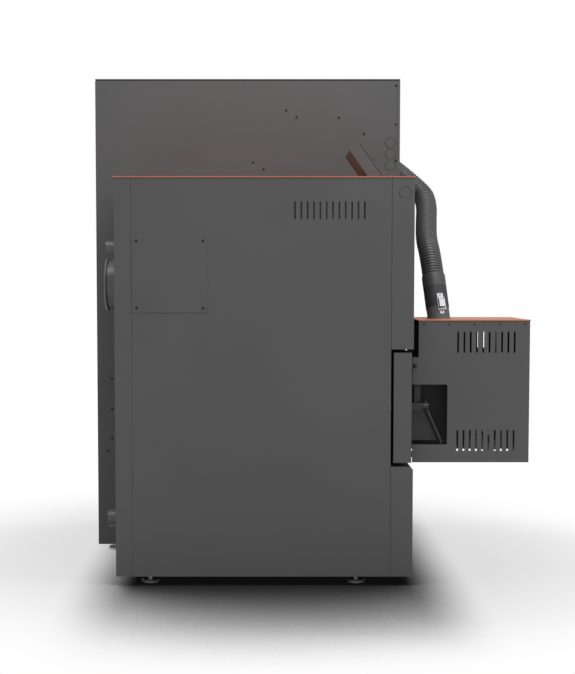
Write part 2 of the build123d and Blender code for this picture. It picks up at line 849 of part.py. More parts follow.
seal_z = around(door_opening_z, door_opening[1] + 2 * (door_seal_margin + door_seal_width))
seal_x = around(boiler_x, door_opening[0] + 2 * (door_seal_margin + door_seal_width))
seal_y = (door_y[1] - sheet, vessel_y[0])
with BuildPart() as door_insulation:
    block(
        (door_x[0] + door_rim, door_x[1] - door_rim),
        (door_y[0] + door_plate, seal_y[0]),
        (door_z[0] + door_rim, door_z[1] - door_rim),
    )
    rod("Y", (boiler_x, door_y[0], burner_z), door_thickness, door_tube_radius, mode=Mode.SUBTRACT)
    rod("Y", (handle_axis_x, door_y[0], handle_z), door_thickness, spindle_radius + 2, mode=Mode.SUBTRACT)
finish(door_insulation, "door_insulation")

with BuildPart() as door_seal:
    block(seal_x, seal_y, seal_z)
    block(
        (seal_x[0] + door_seal_width, seal_x[1] - door_seal_width),
        seal_y,
        (seal_z[0] + door_seal_width, seal_z[1] - door_seal_width),
        mode=Mode.SUBTRACT,
    )
finish(door_seal, "door_seal")

# Handle bracket: a bearing for the spindle on a wedge-shaped block, with an upright ear
bracket_near_x = handle_axis_x + handle_hub_radius + 1
bracket_x = (bracket_near_x, bracket_near_x + bracket_thickness)
bearing_reach = handle_hub_reach[0] - 2
with BuildPart() as handle_bracket:
    with BuildSketch(Plane.YZ.offset(bracket_x[0])):
        with BuildLine():
            Polyline(
                (door_y[0], handle_z),
                (ahead(bracket_reaches[0]), handle_z),
                (ahead(bracket_reaches[1]), handle_z - handle_drop),
                (door_y[0], handle_z - handle_drop),
                close=True,
            )
        make_face()
    extrude(amount=bracket_thickness)
    block(
        (handle_axis_x - handle_hub_radius, bracket_x[1]),
        (ahead(bearing_reach), door_y[0]),
        around(handle_z, 2 * handle_hub_radius),
    )
    block(bracket_x, [ahead(reach) for reach in bracket_ear_reaches], (handle_z, bracket_ear_top))
    bearing_start = (handle_axis_x, ahead(bearing_reach), handle_z)
    rod("Y", bearing_start, door_y[0] - bearing_start[1], spindle_hole, mode=Mode.SUBTRACT)
finish(handle_bracket, "handle_bracket")

# Door handle: a bent lever on a spindle through the door, with a claw behind it
claw_y = (vessel_y[0] - claw_gap - claw_thickness, vessel_y[0] - claw_gap)
hub_y = ahead(sum(handle_hub_reach) / 2)
lever_root = Vector(handle_axis_x, hub_y, handle_z)
lever_tip = Vector(handle_axis_x, ahead(handle_tip_reach), handle_z - handle_drop)
with BuildPart() as door_handle:
    rod("Y", (handle_axis_x, ahead(handle_hub_reach[1]), handle_z), claw_y[1] - ahead(handle_hub_reach[1]), spindle_radius)
    rod(
        "Y",
        (handle_axis_x, ahead(handle_hub_reach[1]), handle_z),
        handle_hub_reach[1] - handle_hub_reach[0],
        handle_hub_radius,
    )
    stop_x = handle_axis_x - stop_pin_length / 2
    rod("X", (stop_x, hub_y, handle_z + stop_pin_rise), stop_pin_length, stop_pin_radius)
    block(
        around(handle_axis_x, stop_pin_radius),
        around(hub_y, stop_pin_radius),
        (handle_z, handle_z + stop_pin_rise),
    )
    lever = Plane(origin=lever_root, z_dir=lever_tip - lever_root)
    lever_length = (lever_tip - lever_root).length
    with Locations(lever):
        Cylinder(handle_radius, lever_length, align=(Align.CENTER, Align.CENTER, Align.MIN))
    with Locations(lever_tip):
        Sphere(handle_radius)
    block((handle_axis_x - claw_length, handle_axis_x + spindle_radius), claw_y, around(handle_z, claw_height))
finish(door_handle, "door_handle")

# Burner tube: the round combustion head behind the door, with a grate plate and air holes
tube_y = (behind(door_front_depth), behind(burner_tube_depth))
inner_tube = burner_tube_radius - burner_tube_wall
grate_z = burner_z - screw_tube_radius - burner_tube_wall
with BuildPart() as burner_tube:
    rod("Y", (boiler_x, tube_y[0], burner_z), tube_y[1] - tube_y[0], burner_tube_radius)
    rod("Y", (boiler_x, tube_y[0], burner_z), tube_y[1] - tube_y[0], inner_tube, mode=Mode.SUBTRACT)
    block(
        around(boiler_x, 2 * inner_tube * 0.82),
        (behind(screw_tube_depth + 5), tube_y[1]),
        (grate_z, grate_z + burner_tube_wall),
    )
finish(burner_tube, "burner_tube")

# Burner housing: a sheet box on a flange, with the feed tube through it and the pellet inlet on top
housing_y = (ahead(burner_reach), ahead(1))
screw_bore = screw_tube_radius - screw_tube_wall
inlet_y = ahead(inlet_reach)
with BuildPart() as burner_housing:
    flange_y = (ahead(1), behind(door_front_depth))
    block(around(boiler_x, burner_flange[0]), flange_y, around(burner_z, burner_flange[1]))
    rod("Y", (boiler_x, flange_y[0], burner_z), burner_flange_thickness, inner_tube - 2, mode=Mode.SUBTRACT)
    block(around(boiler_x, 2 * burner_half_width), housing_y, (burner_bottom, burner_top))
    block(
        around(boiler_x, 2 * (burner_half_width - burner_wall)),
        (housing_y[0] + burner_wall, housing_y[1]),
        (burner_bottom + burner_wall, burner_top - burner_wall),
        mode=Mode.SUBTRACT,
    )
    feed_length = behind(screw_tube_depth) - housing_y[0]
    rod("Y", (boiler_x, housing_y[0], burner_z), feed_length, screw_tube_radius)
    inlet_bore = spigot_radius - spigot_wall
    rod("Z", (boiler_x, inlet_y, burner_z), burner_top - burner_z, spigot_radius)
    rod("Z", (boiler_x, inlet_y, burner_z), burner_top - burner_z, inlet_bore, mode=Mode.SUBTRACT)
    rod("Y", (boiler_x, housing_y[0] + burner_wall, burner_z), feed_length, screw_bore, mode=Mode.SUBTRACT)
    shaft_hole = burner_screw_shaft + 1
    rod("Y", (boiler_x, housing_y[0], burner_z), burner_wall, shaft_hole, mode=Mode.SUBTRACT)
    fan_port_z = (burner_bottom + 2 * burner_wall, fan_z + 20)
    block(around(boiler_x, 50), (housing_y[0], housing_y[0] + burner_wall), fan_port_z, mode=Mode.SUBTRACT)
finish(burner_housing, "burner_housing")


def feed_screw(place, length, shaft_start, shaft_length, shaft, flight_radius, pitch):
    """A screw along a plane's normal: one helical flight from the plane on a round shaft."""
    with BuildPart() as screw:
        middle = (shaft + flight_radius) / 2
        with BuildLine():
            turn = Helix(pitch, length, middle)
        with BuildSketch(Plane(origin=turn @ 0, x_dir=(1, 0, 0), z_dir=turn % 0)):
            Rectangle(flight_radius - shaft + 1, flight_thickness)
        sweep(is_frenet=True)
        rod("Z", (0, 0, shaft_start), shaft_length, shaft)
    return place.location * screw.part


# Burner feed screw: its shaft enters the gear motor in front
screw_plane = Plane(origin=(boiler_x, housing_y[0] + 10, burner_z), x_dir=(1, 0, 0), z_dir=(0, 1, 0))
burner_screw_length = burner_reach - 20 + screw_tube_depth
with BuildPart() as burner_feed_screw:
    add(
        feed_screw(
            screw_plane,
            burner_screw_length,
            -28,
            burner_screw_length + 34,
            burner_screw_shaft,
            burner_screw_radius,
            burner_screw_pitch,
        )
    )
finish(burner_feed_screw, "burner_feed_screw")

# Burner gear motor: a gearbox on the housing's front and an upright motor
gearbox_reach = burner_reach + 60
motor_middle = gearbox_reach + motor_radius
motor_top = cover_z[1] - 29
with BuildPart() as burner_gear_motor:
    block(around(boiler_x, 68), (ahead(gearbox_reach), housing_y[0]), around(burner_z, 68))
    block(
        around(boiler_x, 68),
        (ahead(motor_middle + motor_radius), ahead(gearbox_reach)),
        (burner_z, burner_z + 69),
    )
    rod("Z", (boiler_x, ahead(motor_middle), burner_z + 69), motor_top - burner_z - 69, motor_radius)
    bore_start = (boiler_x, ahead(burner_reach + 25), burner_z)
    rod("Y", bore_start, 25, burner_screw_shaft + shaft_clearance, mode=Mode.SUBTRACT)
finish(burner_gear_motor, "burner_gear_motor")

# Terminal box on top of the burner housing
with BuildPart() as terminal_box_body:
    block(
        around(boiler_x, terminal_box[0]),
        (ahead(terminal_box_reach + terminal_box[1]), ahead(terminal_box_reach)),
        (burner_top, burner_top + terminal_box[2]),
    )
    fillet(terminal_box_body.edges().filter_by(Axis.Z), 3)
finish(terminal_box_body, "terminal_box")

# Fan: a round housing with a blown outlet into the burner, and a wheel of upright blades
fan_y = ahead(fan_reach)
wheel_bore = 12
with BuildPart() as fan_housing:
    fan_x = boiler_x - fan_half_width
    rod("X", (fan_x, fan_y, fan_z), 2 * fan_half_width, fan_radius)
    block(
        around(boiler_x, 50 + 2 * fan_wall),
        (fan_y, housing_y[0]),
        (fan_port_z[0] - fan_wall, fan_port_z[1] + fan_wall),
    )
    rod(
        "X",
        (fan_x + fan_wall, fan_y, fan_z),
        2 * (fan_half_width - fan_wall),
        fan_radius - fan_wall,
        mode=Mode.SUBTRACT,
    )
    block(around(boiler_x, 50), (fan_y, housing_y[0]), fan_port_z, mode=Mode.SUBTRACT)
    rod("X", (fan_x, fan_y, fan_z), fan_wall, 28, mode=Mode.SUBTRACT)
    motor_x = boiler_x + fan_half_width
    rod("X", (motor_x, fan_y, fan_z), 30, 25)
    rod("X", (motor_x - fan_wall, fan_y, fan_z), 25, 4 + shaft_clearance, mode=Mode.SUBTRACT)
finish(fan_housing, "fan_housing")

with BuildPart() as fan_wheel:
    wheel_x = boiler_x - fan_wheel_width / 2
    back_plate = 2
    rod("X", (wheel_x + fan_wheel_width - back_plate, fan_y, fan_z), back_plate, fan_wheel_radius)
    rod("X", (wheel_x + fan_wheel_width / 3, fan_y, fan_z), fan_wheel_width * 2 / 3, wheel_bore)
    rod("X", (wheel_x + fan_wheel_width / 2, fan_y, fan_z), fan_wheel_width / 2 + 30, 4)
    rod("X", (wheel_x, fan_y, fan_z), back_plate, fan_wheel_radius)
    rod("X", (wheel_x, fan_y, fan_z), back_plate, fan_wheel_radius - 9, mode=Mode.SUBTRACT)
    with BuildSketch(Plane.YZ.offset(wheel_x)):
        with Locations((fan_y, fan_z)):
            with PolarLocations(fan_wheel_radius - 4.5, fan_blades):
                Rectangle(8, 1.2)
    extrude(amount=fan_wheel_width)
finish(fan_wheel, "fan_wheel")

# Feeder line: from a low point over the hopper's flat floor up to its head near the front panel,
# where a chute leads down and forward to the hose
feeder_head = Vector(hopper_x + feeder_inset, behind(feeder_head_depth), hopper_height - feeder_head_drop)
feeder_foot = Vector(hopper_x + feeder_inset, behind(feeder_low_depth), feeder_low_z)
feeder_axis = (feeder_head - feeder_foot).normalized()
feeder_plane = Plane(origin=feeder_head, x_dir=(1, 0, 0), z_dir=feeder_axis)
feeder_low = -(feeder_head - feeder_foot).length
hose_start = Vector(hopper_x + feeder_inset, behind(outlet_depth), hopper_height - outlet_drop)
chute_length = (hose_start - feeder_head).length
chute_direction = (hose_start - feeder_head).normalized()

# Pellet hose: hand-chosen points of its middle line, from the feeder's outlet chute down to the
# spigot on the burner. Each middle point is a place along X from the hopper's near side, a reach
# in front of the boiler's face and a share of the height from the hose's low end to its start.
# The first run follows the chute and the last one lies on the line of the leaning spigot.
hose_end = Vector(hopper_x - 216, ahead(96.5), cover_z[1] + hose_end_rise)
hose_middle = [(10, 97, 0.692), (-50, 88, 0.5455), (-112, 81, 0.394)]
hose_drop = hose_start.Z - hose_end.Z
hose_points = [hose_start, hose_start + chute_direction * hose_first_run]
hose_points += [Vector(hopper_x + x, ahead(reach), hose_end.Z + share * hose_drop) for x, reach, share in hose_middle]
spigot_bend = Vector(boiler_x, inlet_y, spigot_bend_z)
cuff_direction = (hose_end - spigot_bend).normalized()
hose_points += [hose_end + cuff_direction * hose_last_run, hose_end]
run_lengths = [(after - before).length for before, after in zip(hose_points, hose_points[1:])]
hose_radii = []
for n in range(1, len(hose_points) - 1):
    turn = (hose_points[n] - hose_points[n - 1]).get_angle(hose_points[n + 1] - hose_points[n])
    shorter = min(run_lengths[n - 1], run_lengths[n])
    hose_radii.append(0.45 * shorter / tan(radians(turn / 2)))
print("pellet hose arc radii:", [round(radius, 1) for radius in hose_radii])

with BuildLine():
    hose_path = FilletPolyline(*hose_points, radius=hose_radii)
hose_length = hose_path.length
print("pellet hose length:", round(hose_length, 1))
steady_x = Vector(0.85, 0, -0.5)


def hose_plane(distance):
    """The plane across the hose at a distance along its middle line."""
    place = hose_path.position_at(distance, position_mode=PositionMode.LENGTH)
    heading = hose_path.tangent_at(distance, position_mode=PositionMode.LENGTH)
    return Plane(origin=place, x_dir=steady_x, z_dir=heading)


hose_ribs = int((hose_length - 2 * hose_plain_end) / hose_rib_pitch)
first_rib = (hose_length - hose_ribs * hose_rib_pitch) / 2
hose_rings = [(0, hose_end_radius), (first_rib - hose_rib_slope, hose_end_radius)]
for rib in range(hose_ribs):
    foot = first_rib + rib * hose_rib_pitch + (hose_rib_pitch - hose_rib_crest) / 2 - hose_rib_slope
    hose_rings += [
        (foot, hose_valley_radius),
        (foot + hose_rib_slope, hose_radius),
        (foot + hose_rib_slope + hose_rib_crest, hose_radius),
        (foot + 2 * hose_rib_slope + hose_rib_crest, hose_valley_radius),
    ]
hose_rings += [(hose_length - first_rib + hose_rib_slope, hose_collar_radius), (hose_length, hose_collar_radius)]
with BuildPart() as pellet_hose:
    for distance, radius in hose_rings:
        with BuildSketch(hose_plane(distance)):
            Circle(radius)
    loft(ruled=True)
    add(hose_path)
    with BuildSketch(hose_plane(0)):
        Circle(hose_bore_radius)
    sweep(path=hose_path, mode=Mode.SUBTRACT)
print("pellet hose ribs:", hose_ribs)
finish(pellet_hose, "pellet_hose")

# Pellet spigot: from the burner housing's inlet up through the cover top, then leaning to the hose
spigot_end = hose_end - cuff_direction * cuff_lip
with BuildPart() as pellet_spigot:
    with BuildLine():
        FilletPolyline(
            (boiler_x, inlet_y, burner_top), spigot_bend, spigot_end, radius=spigot_bend_radius
        )
    with BuildSketch(Plane(origin=(boiler_x, inlet_y, burner_top), z_dir=(0, 0, 1))):
        Circle(spigot_radius)
        Circle(spigot_radius - spigot_wall, mode=Mode.SUBTRACT)
    sweep()
    rod("Z", (boiler_x, inlet_y, burner_top), 4, spigot_radius + 0.8)
    rod("Z", (boiler_x, inlet_y, burner_top), 4, spigot_radius - spigot_wall, mode=Mode.SUBTRACT)
finish(pellet_spigot, "pellet_spigot")

# Cuff: a sleeve on the spigot whose neck enters the hose, in a frame along the hose's last run
outward = (Vector(-1, 0, 0) - cuff_direction * Vector(-1, 0, 0).dot(cuff_direction)).normalized()
outward = outward.rotate(Axis((0, 0, 0), cuff_direction), latch_turn)
cuff_frame = Plane(origin=hose_end, x_dir=outward, z_dir=cuff_direction)
neck_radius = hose_bore_radius - neck_clearance
with BuildPart(cuff_frame) as hose_cuff:
    rod("Z", (0, 0, -cuff_below), cuff_below - neck_clearance, cuff_radius)
    rod("Z", (0, 0, -cuff_lip), cuff_lip + cuff_neck, neck_radius)
    rod("Z", (0, 0, -cuff_lip), cuff_lip + cuff_neck, neck_radius - cuff_neck_wall, mode=Mode.SUBTRACT)
    spigot_fit = spigot_radius + shaft_clearance
    rod("Z", (0, 0, -cuff_below), cuff_below - cuff_lip, spigot_fit, mode=Mode.SUBTRACT)
finish(hose_cuff, "hose_cuff")

# Toggle latch on the cuff: in the cuff's frame x points outward and z up along the hose
pivot_z = -50
lever_pivot_x = cuff_radius + 11
bail_pivot_x = cuff_radius + 5
lever_x = (cuff_radius + 3, cuff_radius + 14)
lever_half_width = 9
lever_side = 1.2
bail_half_width = 11
bail_bar_z = -84
wire_radius = 1.25
ear_half_gap = 5.75
latch_rivet_radius = 2
with BuildPart(cuff_frame) as latch_plates:
    block((cuff_radius, cuff_radius + sheet), (-9.5, 9.5), (-54, -30))
    for side in (-1, 1):
        ear_y = side * (ear_half_gap + sheet / 2)
        block((cuff_radius, lever_pivot_x + 1.3), around(ear_y, sheet), (-54, -48.2))
    ear_outside = ear_half_gap + sheet
    rod("Y", (lever_pivot_x, -ear_outside, pivot_z), 2 * ear_outside, 1.2)
    rod("X", (cuff_radius, 0, -36), sheet, latch_rivet_radius, mode=Mode.SUBTRACT)
    keeper_x = spigot_radius + 0.2
    block((keeper_x, keeper_x + sheet), (-7, 7), (-96, -80))
    block((keeper_x, bail_pivot_x + 3), (-7, 7), (-82, -80))
    block((bail_pivot_x + 1.6, bail_pivot_x + 3), (-7, 7), (-85, -80))
    rod("X", (keeper_x, 0, -91), sheet, latch_rivet_radius, mode=Mode.SUBTRACT)
finish(latch_plates, "latch_plates")

with BuildPart(cuff_frame) as latch_lever:
    lever_inside = lever_half_width - lever_side
    face_x = (lever_x[1] - sheet, lever_x[1])
    block(lever_x, (-lever_half_width, lever_half_width), (-54, -46))
    block(face_x, (-lever_half_width, lever_half_width), (-77, -52))
    block((face_x[0], lever_x[1] + 4), (-lever_half_width, lever_half_width), (-78, -76.5))
    block((lever_x[0] - 2, lever_x[1]), (-lever_inside, lever_inside), (-54, -44), mode=Mode.SUBTRACT)
    rod("Y", (lever_pivot_x, -lever_inside, pivot_z), 2 * lever_inside, 4, mode=Mode.SUBTRACT)
    bail_hole = wire_radius + screw_clearance
    rod("Y", (bail_pivot_x, -lever_half_width, pivot_z), 2 * lever_half_width, bail_hole, mode=Mode.SUBTRACT)
finish(latch_lever, "latch_lever")

with BuildPart(cuff_frame) as latch_bail:
    for side in (-1, 1):
        block(
            around(bail_pivot_x, 2 * wire_radius),
            around(side * bail_half_width, 2 * wire_radius),
            (bail_bar_z - wire_radius, pivot_z + wire_radius),
        )
        inner_end = lever_half_width - 1
        start_y = inner_end if side > 0 else -bail_half_width
        rod("Y", (bail_pivot_x, start_y, pivot_z), bail_half_width - inner_end, wire_radius)
    rod("Y", (bail_pivot_x, -bail_half_width, bail_bar_z), 2 * bail_half_width, wire_radius)
finish(latch_bail, "latch_bail")

# Burner cover: near, far and front sheets with vent slots, a window and tabs to the door
cover_x = around(boiler_x, cover_width)
cover_front = ahead(cover_reach)
slot_places = [
    (boiler_x, ahead(cover_slot_first_reach + n * cover_slot_pitch), z)
    for z in cover_slot_heights
    for n in range(cover_slots)
]
top_screws = [(ahead(reach), cover_screw_z) for reach in cover_screw_reaches]
thumb_screws = [(ahead(thumb_screw_reach), thumb_screw_z)]
with BuildPart() as burner_cover:
    block(cover_x, (cover_front, ahead(cover_rear_reach)), cover_z)
    block(
        (cover_x[0] + sheet, cover_x[1] - sheet),
        (cover_front + sheet, ahead(cover_rear_reach)),
        (cover_z[0], cover_z[1] - sheet),
        mode=Mode.SUBTRACT,
    )
    block(
        (cover_x[0] + cover_flange, cover_x[1] - cover_flange),
        (cover_front + cover_flange, ahead(cover_rear_reach)),
        (cover_z[0], cover_z[1]),
        mode=Mode.SUBTRACT,
    )
    block(cover_x, (ahead(cover_notch_reach), ahead(cover_rear_reach)), (cover_notch_z, cover_z[1]), mode=Mode.SUBTRACT)
    block(
        (cover_x[0], cover_x[0] + sheet),
        (ahead(window_reach), ahead(cover_rear_reach)),
        window_z,
        mode=Mode.SUBTRACT,
    )
    with Locations(*slot_places):
        Box(cover_width + 2, cover_slot_width, cover_slot_height, mode=Mode.SUBTRACT)
    for side, edge in ((1, cover_x[0] + sheet), (-1, cover_x[1] - sheet)):
        for z in tab_heights:
            tab_z = around(z, tab_size)
            block((edge, edge + side * sheet), (ahead(tab_size + cover_rear_reach), door_y[0]), tab_z)
            block((edge, edge + side * fold), (door_y[0] - sheet, door_y[0]), tab_z)
    for face, outward_side in ((cover_x[0], -1), (cover_x[1], 1)):
        side_screw_holes(top_screws + thumb_screws, face, outward_side)
finish(burner_cover, "burner_cover")

# Orange top of the burner cover, with a hole for the leaning spigot
spigot_lean = spigot_end - spigot_bend
lean_share = (cover_z[1] - spigot_bend_z) / spigot_lean.Z
spigot_hole = (boiler_x + lean_share * spigot_lean.X, inlet_y + lean_share * spigot_lean.Y)
with BuildPart() as burner_cover_top:
    block(
        (cover_x[0] - cover_top_overhang, cover_x[1] + cover_top_overhang),
        (cover_front - cover_top_overhang, ahead(cover_notch_reach - cover_top_overhang)),
        (cover_z[1], cover_z[1] + cover_top_thickness),
    )
    rod("Z", (*spigot_hole, cover_z[1]), cover_top_thickness, spigot_radius + 4.5, mode=Mode.SUBTRACT)
finish(burner_cover_top, "burner_cover_top")

with BuildPart() as cover_screws:
    for face, outward_side in ((cover_x[0], -1), (cover_x[1], 1)):
        side_screws(top_screws, face, outward_side, cover_screw_radius)
        side_screws(thumb_screws, face, outward_side, thumb_screw_radius, thumb_screw_height)
finish(cover_screws, "cover_screws")

# Controller: a slanted case on the boiler's top with a fascia in front of a shadow gap
front_foot = Vector(0, behind(controller_depths[0]), boiler_height)
front_head = Vector(0, behind(controller_depths[1]), controller_tops[0])
back_head = Vector(0, behind(controller_depths[2]), controller_tops[1])
back_foot = Vector(0, behind(controller_depths[3]), boiler_height)
rise = (front_head - front_foot).normalized()
facing = Vector(1, 0, 0).cross(rise)
fascia_height = (front_head - front_foot).length
fascia_plane = Plane(origin=(boiler_x, front_foot.Y, front_foot.Z), x_dir=(1, 0, 0), z_dir=facing)
top_slope = (back_head - front_head).normalized()
case_setback = fascia_thickness + fascia_gap
along_foot = case_setback / abs(facing.Y)
case_foot = front_foot + Vector(0, along_foot, 0)
case_head = front_head + top_slope * (case_setback / abs(top_slope.dot(facing)))

with BuildPart() as controller_case:
    with BuildSketch(Plane.YZ.offset(boiler_x)):
        with BuildLine():
            Polyline(*[(point.Y, point.Z) for point in (case_foot, case_head, back_head, back_foot)], close=True)
        make_face()
    extrude(amount=controller_width / 2, both=True)
    bottom = controller_case.faces().sort_by(Axis.Z)[0]
    offset(amount=-controller_wall, openings=bottom, kind=Kind.INTERSECTION)
    with BuildSketch(fascia_plane.offset(-case_setback)):
        with Locations((0, fascia_height / 2 + 2)):
            Rectangle(controller_width - 2 * fascia_gap_inset, fascia_height - 4 * fascia_gap_inset)
            Rectangle(controller_width - 8 * fascia_gap_inset, fascia_height - 8 * fascia_gap_inset, mode=Mode.SUBTRACT)
    extrude(amount=fascia_gap)
    with BuildSketch(fascia_plane.offset(-case_setback - controller_wall)):
        with Locations((0, display_height)):
            Rectangle(controller_width - 10 * fascia_gap_inset, display_size[1] / 2)
    extrude(amount=controller_wall, mode=Mode.SUBTRACT)
finish(controller_case, "controller_case")

fascia_bottom = fascia_thickness * abs(facing.Z) / rise.Z
with BuildPart(fascia_plane) as controller_fascia:
    half_width = controller_width / 2
    block((-half_width, half_width), (fascia_bottom, fascia_height), (-fascia_thickness, 0))
    block(
        around(0, display_size[0]),
        around(display_height, display_size[1]),
        (-display_recess, 0),
        mode=Mode.SUBTRACT,
    )
    knob_hole = knob_shaft_radius + shaft_clearance
    rod("Z", (knob_x, knob_height, -fascia_thickness), fascia_thickness, knob_hole, mode=Mode.SUBTRACT)
    block(
        around(switch_x, switch_size[0] + 2 * shaft_clearance + switch_clearance),
        around(switch_height, switch_size[1] + 2 * switch_clearance),
        (-fascia_thickness, 0),
        mode=Mode.SUBTRACT,
    )
finish(controller_fascia, "controller_fascia")

with BuildPart(fascia_plane) as display:
    block(
        around(0, display_size[0] - 2 * shaft_clearance),
        around(display_height, display_size[1] - 2 * shaft_clearance),
        (-display_recess, -0.3),
    )
finish(display, "display")

with BuildPart(fascia_plane) as controller_knob:
    rod("Z", (knob_x, knob_height, 0.5), knob_length, knob_radius)
    rod("Z", (knob_x, knob_height, -fascia_thickness - 1), fascia_thickness + 2, knob_shaft_radius)
    block(around(knob_x, 1.6), (knob_height, knob_height + knob_radius), (knob_length, knob_length + 0.5), mode=Mode.SUBTRACT)
finish(controller_knob, "controller_knob")

# Main switch: a rocker whose raised end dips when it is pressed
half_switch = switch_size[1] / 2
raised = 1 + half_switch * tan(radians(switch_travel))
with BuildPart() as main_switch:
    rocker_plane = Plane(
        origin=fascia_plane.from_local_coords((switch_x, switch_height, 0)), x_dir=rise, z_dir=(-1, 0, 0)
    )
    with BuildSketch(rocker_plane):
        with BuildLine():
            Polyline((-half_switch, -4), (half_switch, -4), (half_switch, raised), (0, 1), (-half_switch, 1), close=True)
        make_face()
    extrude(amount=switch_size[0] / 2, both=True)
    pivot = fascia_plane.from_local_coords((switch_x - switch_pivot_length / 2, switch_height, -1))
    rod("X", tuple(pivot), switch_pivot_length, switch_pivot_radius)
finish(main_switch, "main_switch")

# Hopper panels: trays at the sides, a front panel folded round them and a flat rear panel
hopper_front = ahead(hopper_lead)
hopper_rear = hopper_front + hopper_depth
hopper_panel_top = hopper_height - lid_lip - lid_gap
hopper_z = (hopper_underside, hopper_panel_top)
hopper_side_y = (hopper_front + hopper_flange + panel_gap / 2, hopper_rear - sheet - panel_gap / 2)


def on_feeder(offset_up, along):
    """The (Y, Z) place at an offset above the feeder's axis and a distance along it."""
    point = feeder_plane.from_local_coords((0, offset_up, along))
    return (point.Y, point.Z)


tie_screws = [
    on_feeder(tie_bar_offset + side * tie_screw_spacing / 2, place) for place in tie_bar_places for side in (-1, 1)
]
saddle_screws = [on_feeder(saddle_offset + side * saddle_screw_spacing / 2, saddle_place) for side in (-1, 1)]
edge_screws = [(behind(front_screw_depth), hopper_height - drop) for drop in front_screw_drops]
low_screws = [(behind(depth), z) for depth, z in rear_screws]

with BuildPart() as hopper_near_panel:
    tray((hopper_x, hopper_x + fold), hopper_side_y, hopper_z, "+X")
    side_screw_holes(tie_screws + saddle_screws + edge_screws + low_screws, hopper_x, -1)
    with Locations(*[(hopper_x, behind(knock_out_depth), hopper_height - drop) for drop in hopper_knock_out_drops]):
        add(knock_out_cut_out.part, mode=Mode.SUBTRACT)
finish(hopper_near_panel, "hopper_near_panel")

with BuildPart() as hopper_far_panel:
    tray((hopper_far_x - fold, hopper_far_x), hopper_side_y, hopper_z, "-X")
    side_screw_holes(tie_screws + edge_screws + low_screws, hopper_far_x, 1)
finish(hopper_far_panel, "hopper_far_panel")

hopper_span = (hopper_x, hopper_far_x)
hose_hole_share = (hose_start.Y - hopper_front) / -chute_direction.Y
hose_hole_z = hose_start.Z + hose_hole_share * chute_direction.Z
with BuildPart() as hopper_front_panel:
    tray(hopper_span, (hopper_front, hopper_front + hopper_flange), hopper_z, "+Y")
    with BuildSketch(Plane.XZ.offset(-hopper_front)):
        with Locations((hose_start.X, hose_hole_z)):
            Ellipse(hose_end_radius + 2, (hose_end_radius + 2) / abs(chute_direction.Y) + 1)
    extrude(amount=3 * sheet, both=True, mode=Mode.SUBTRACT)
finish(hopper_front_panel, "hopper_front_panel")

with BuildPart() as hopper_rear_panel:
    block(hopper_span, (hopper_rear - sheet, hopper_rear), hopper_z)
finish(hopper_rear_panel, "hopper_rear_panel")

# Base pan of the hopper, with holes for the feet
pan_x = (hopper_x + fold + 1, hopper_far_x - fold - 1)
pan_y = (hopper_front + hopper_flange + fold + 1, hopper_rear - fold - 3)
with BuildPart() as hopper_base:
    tray(pan_x, pan_y, (hopper_underside, hopper_underside + base_pan_height), "+Z", wall=floor_sheet)
    pan_edge_z = (hopper_underside, hopper_underside + floor_sheet)
    for x, y, seat_z in hopper_feet:
        rod("Z", (x, y, pan_edge_z[0]), floor_sheet, foot_stem_radius + foot_clearance, mode=Mode.SUBTRACT)
finish(hopper_base, "hopper_base")

# Sloping floor that leads the pellets back and down to the feeder's low end
floor_front_y = hopper_front + 2 * sheet
floor_flat_y = behind(floor_flat_depth)
floor_high_z = floor_low_z + (floor_flat_y - floor_front_y) * tan(radians(floor_angle))
with BuildPart() as hopper_floor:
    with BuildSketch(Plane.YZ.offset(hopper_x + 2 * sheet)):
        with BuildLine():
            Polyline(
                (floor_front_y, floor_high_z),
                (floor_flat_y, floor_low_z),
                (hopper_rear - 2 * sheet, floor_low_z),
                (hopper_rear - 2 * sheet, floor_low_z - floor_sheet),
                (floor_flat_y - floor_sheet, floor_low_z - floor_sheet),
                (floor_front_y, floor_high_z - 1.5 * floor_sheet),
                close=True,
            )
        make_face()
    extrude(amount=hopper_width - 4 * sheet)
    for edge_x in (hopper_x, hopper_far_x):
        for edge_y in hopper_side_y:
            notch_x, notch_y = around(edge_x, 2 * fold + 2), around(edge_y, 4 * sheet)
            block(notch_x, notch_y, (hopper_underside, hopper_height), mode=Mode.SUBTRACT)
finish(hopper_floor, "hopper_floor")

# Feeder tube with its low inlet, and the chute that leads down to the hose
chute_plane = Plane(origin=feeder_plane.origin, x_dir=(1, 0, 0), z_dir=chute_direction)
with BuildPart(feeder_plane) as feeder_tube:
    rod("Z", (0, 0, feeder_low), feeder_high - feeder_low, feeder_tube_radius)
    with BuildSketch(chute_plane):
        Circle(hose_end_radius)
    extrude(amount=chute_length)
    feeder_bore = feeder_tube_radius - feeder_tube_wall
    rod("Z", (0, 0, feeder_low + feeder_tube_wall), feeder_high - feeder_low, feeder_bore, mode=Mode.SUBTRACT)
    with BuildSketch(chute_plane):
        Circle(hose_bore_radius)
    extrude(amount=chute_length, mode=Mode.SUBTRACT)
    block(
        (-feeder_tube_radius, feeder_tube_radius),
        (-feeder_tube_radius, 0),
        [feeder_low + place for place in feeder_inlet],
        mode=Mode.SUBTRACT,
    )
finish(feeder_tube, "feeder_tube")

screw_start = feeder_low + feeder_tube_wall + 5
feeder_screw_plane = Plane(
    origin=feeder_plane.from_local_coords((0, 0, screw_start)), x_dir=(1, 0, 0), z_dir=feeder_axis
)
with BuildPart() as feeder_screw:
    add(
        feed_screw(
            feeder_screw_plane,
            -screw_start + 20,
            -2,
            feeder_high - screw_start + 22,
            feeder_shaft_radius,
            feeder_screw_radius,
            feeder_pitch,
        )
    )
finish(feeder_screw, "feeder_screw")

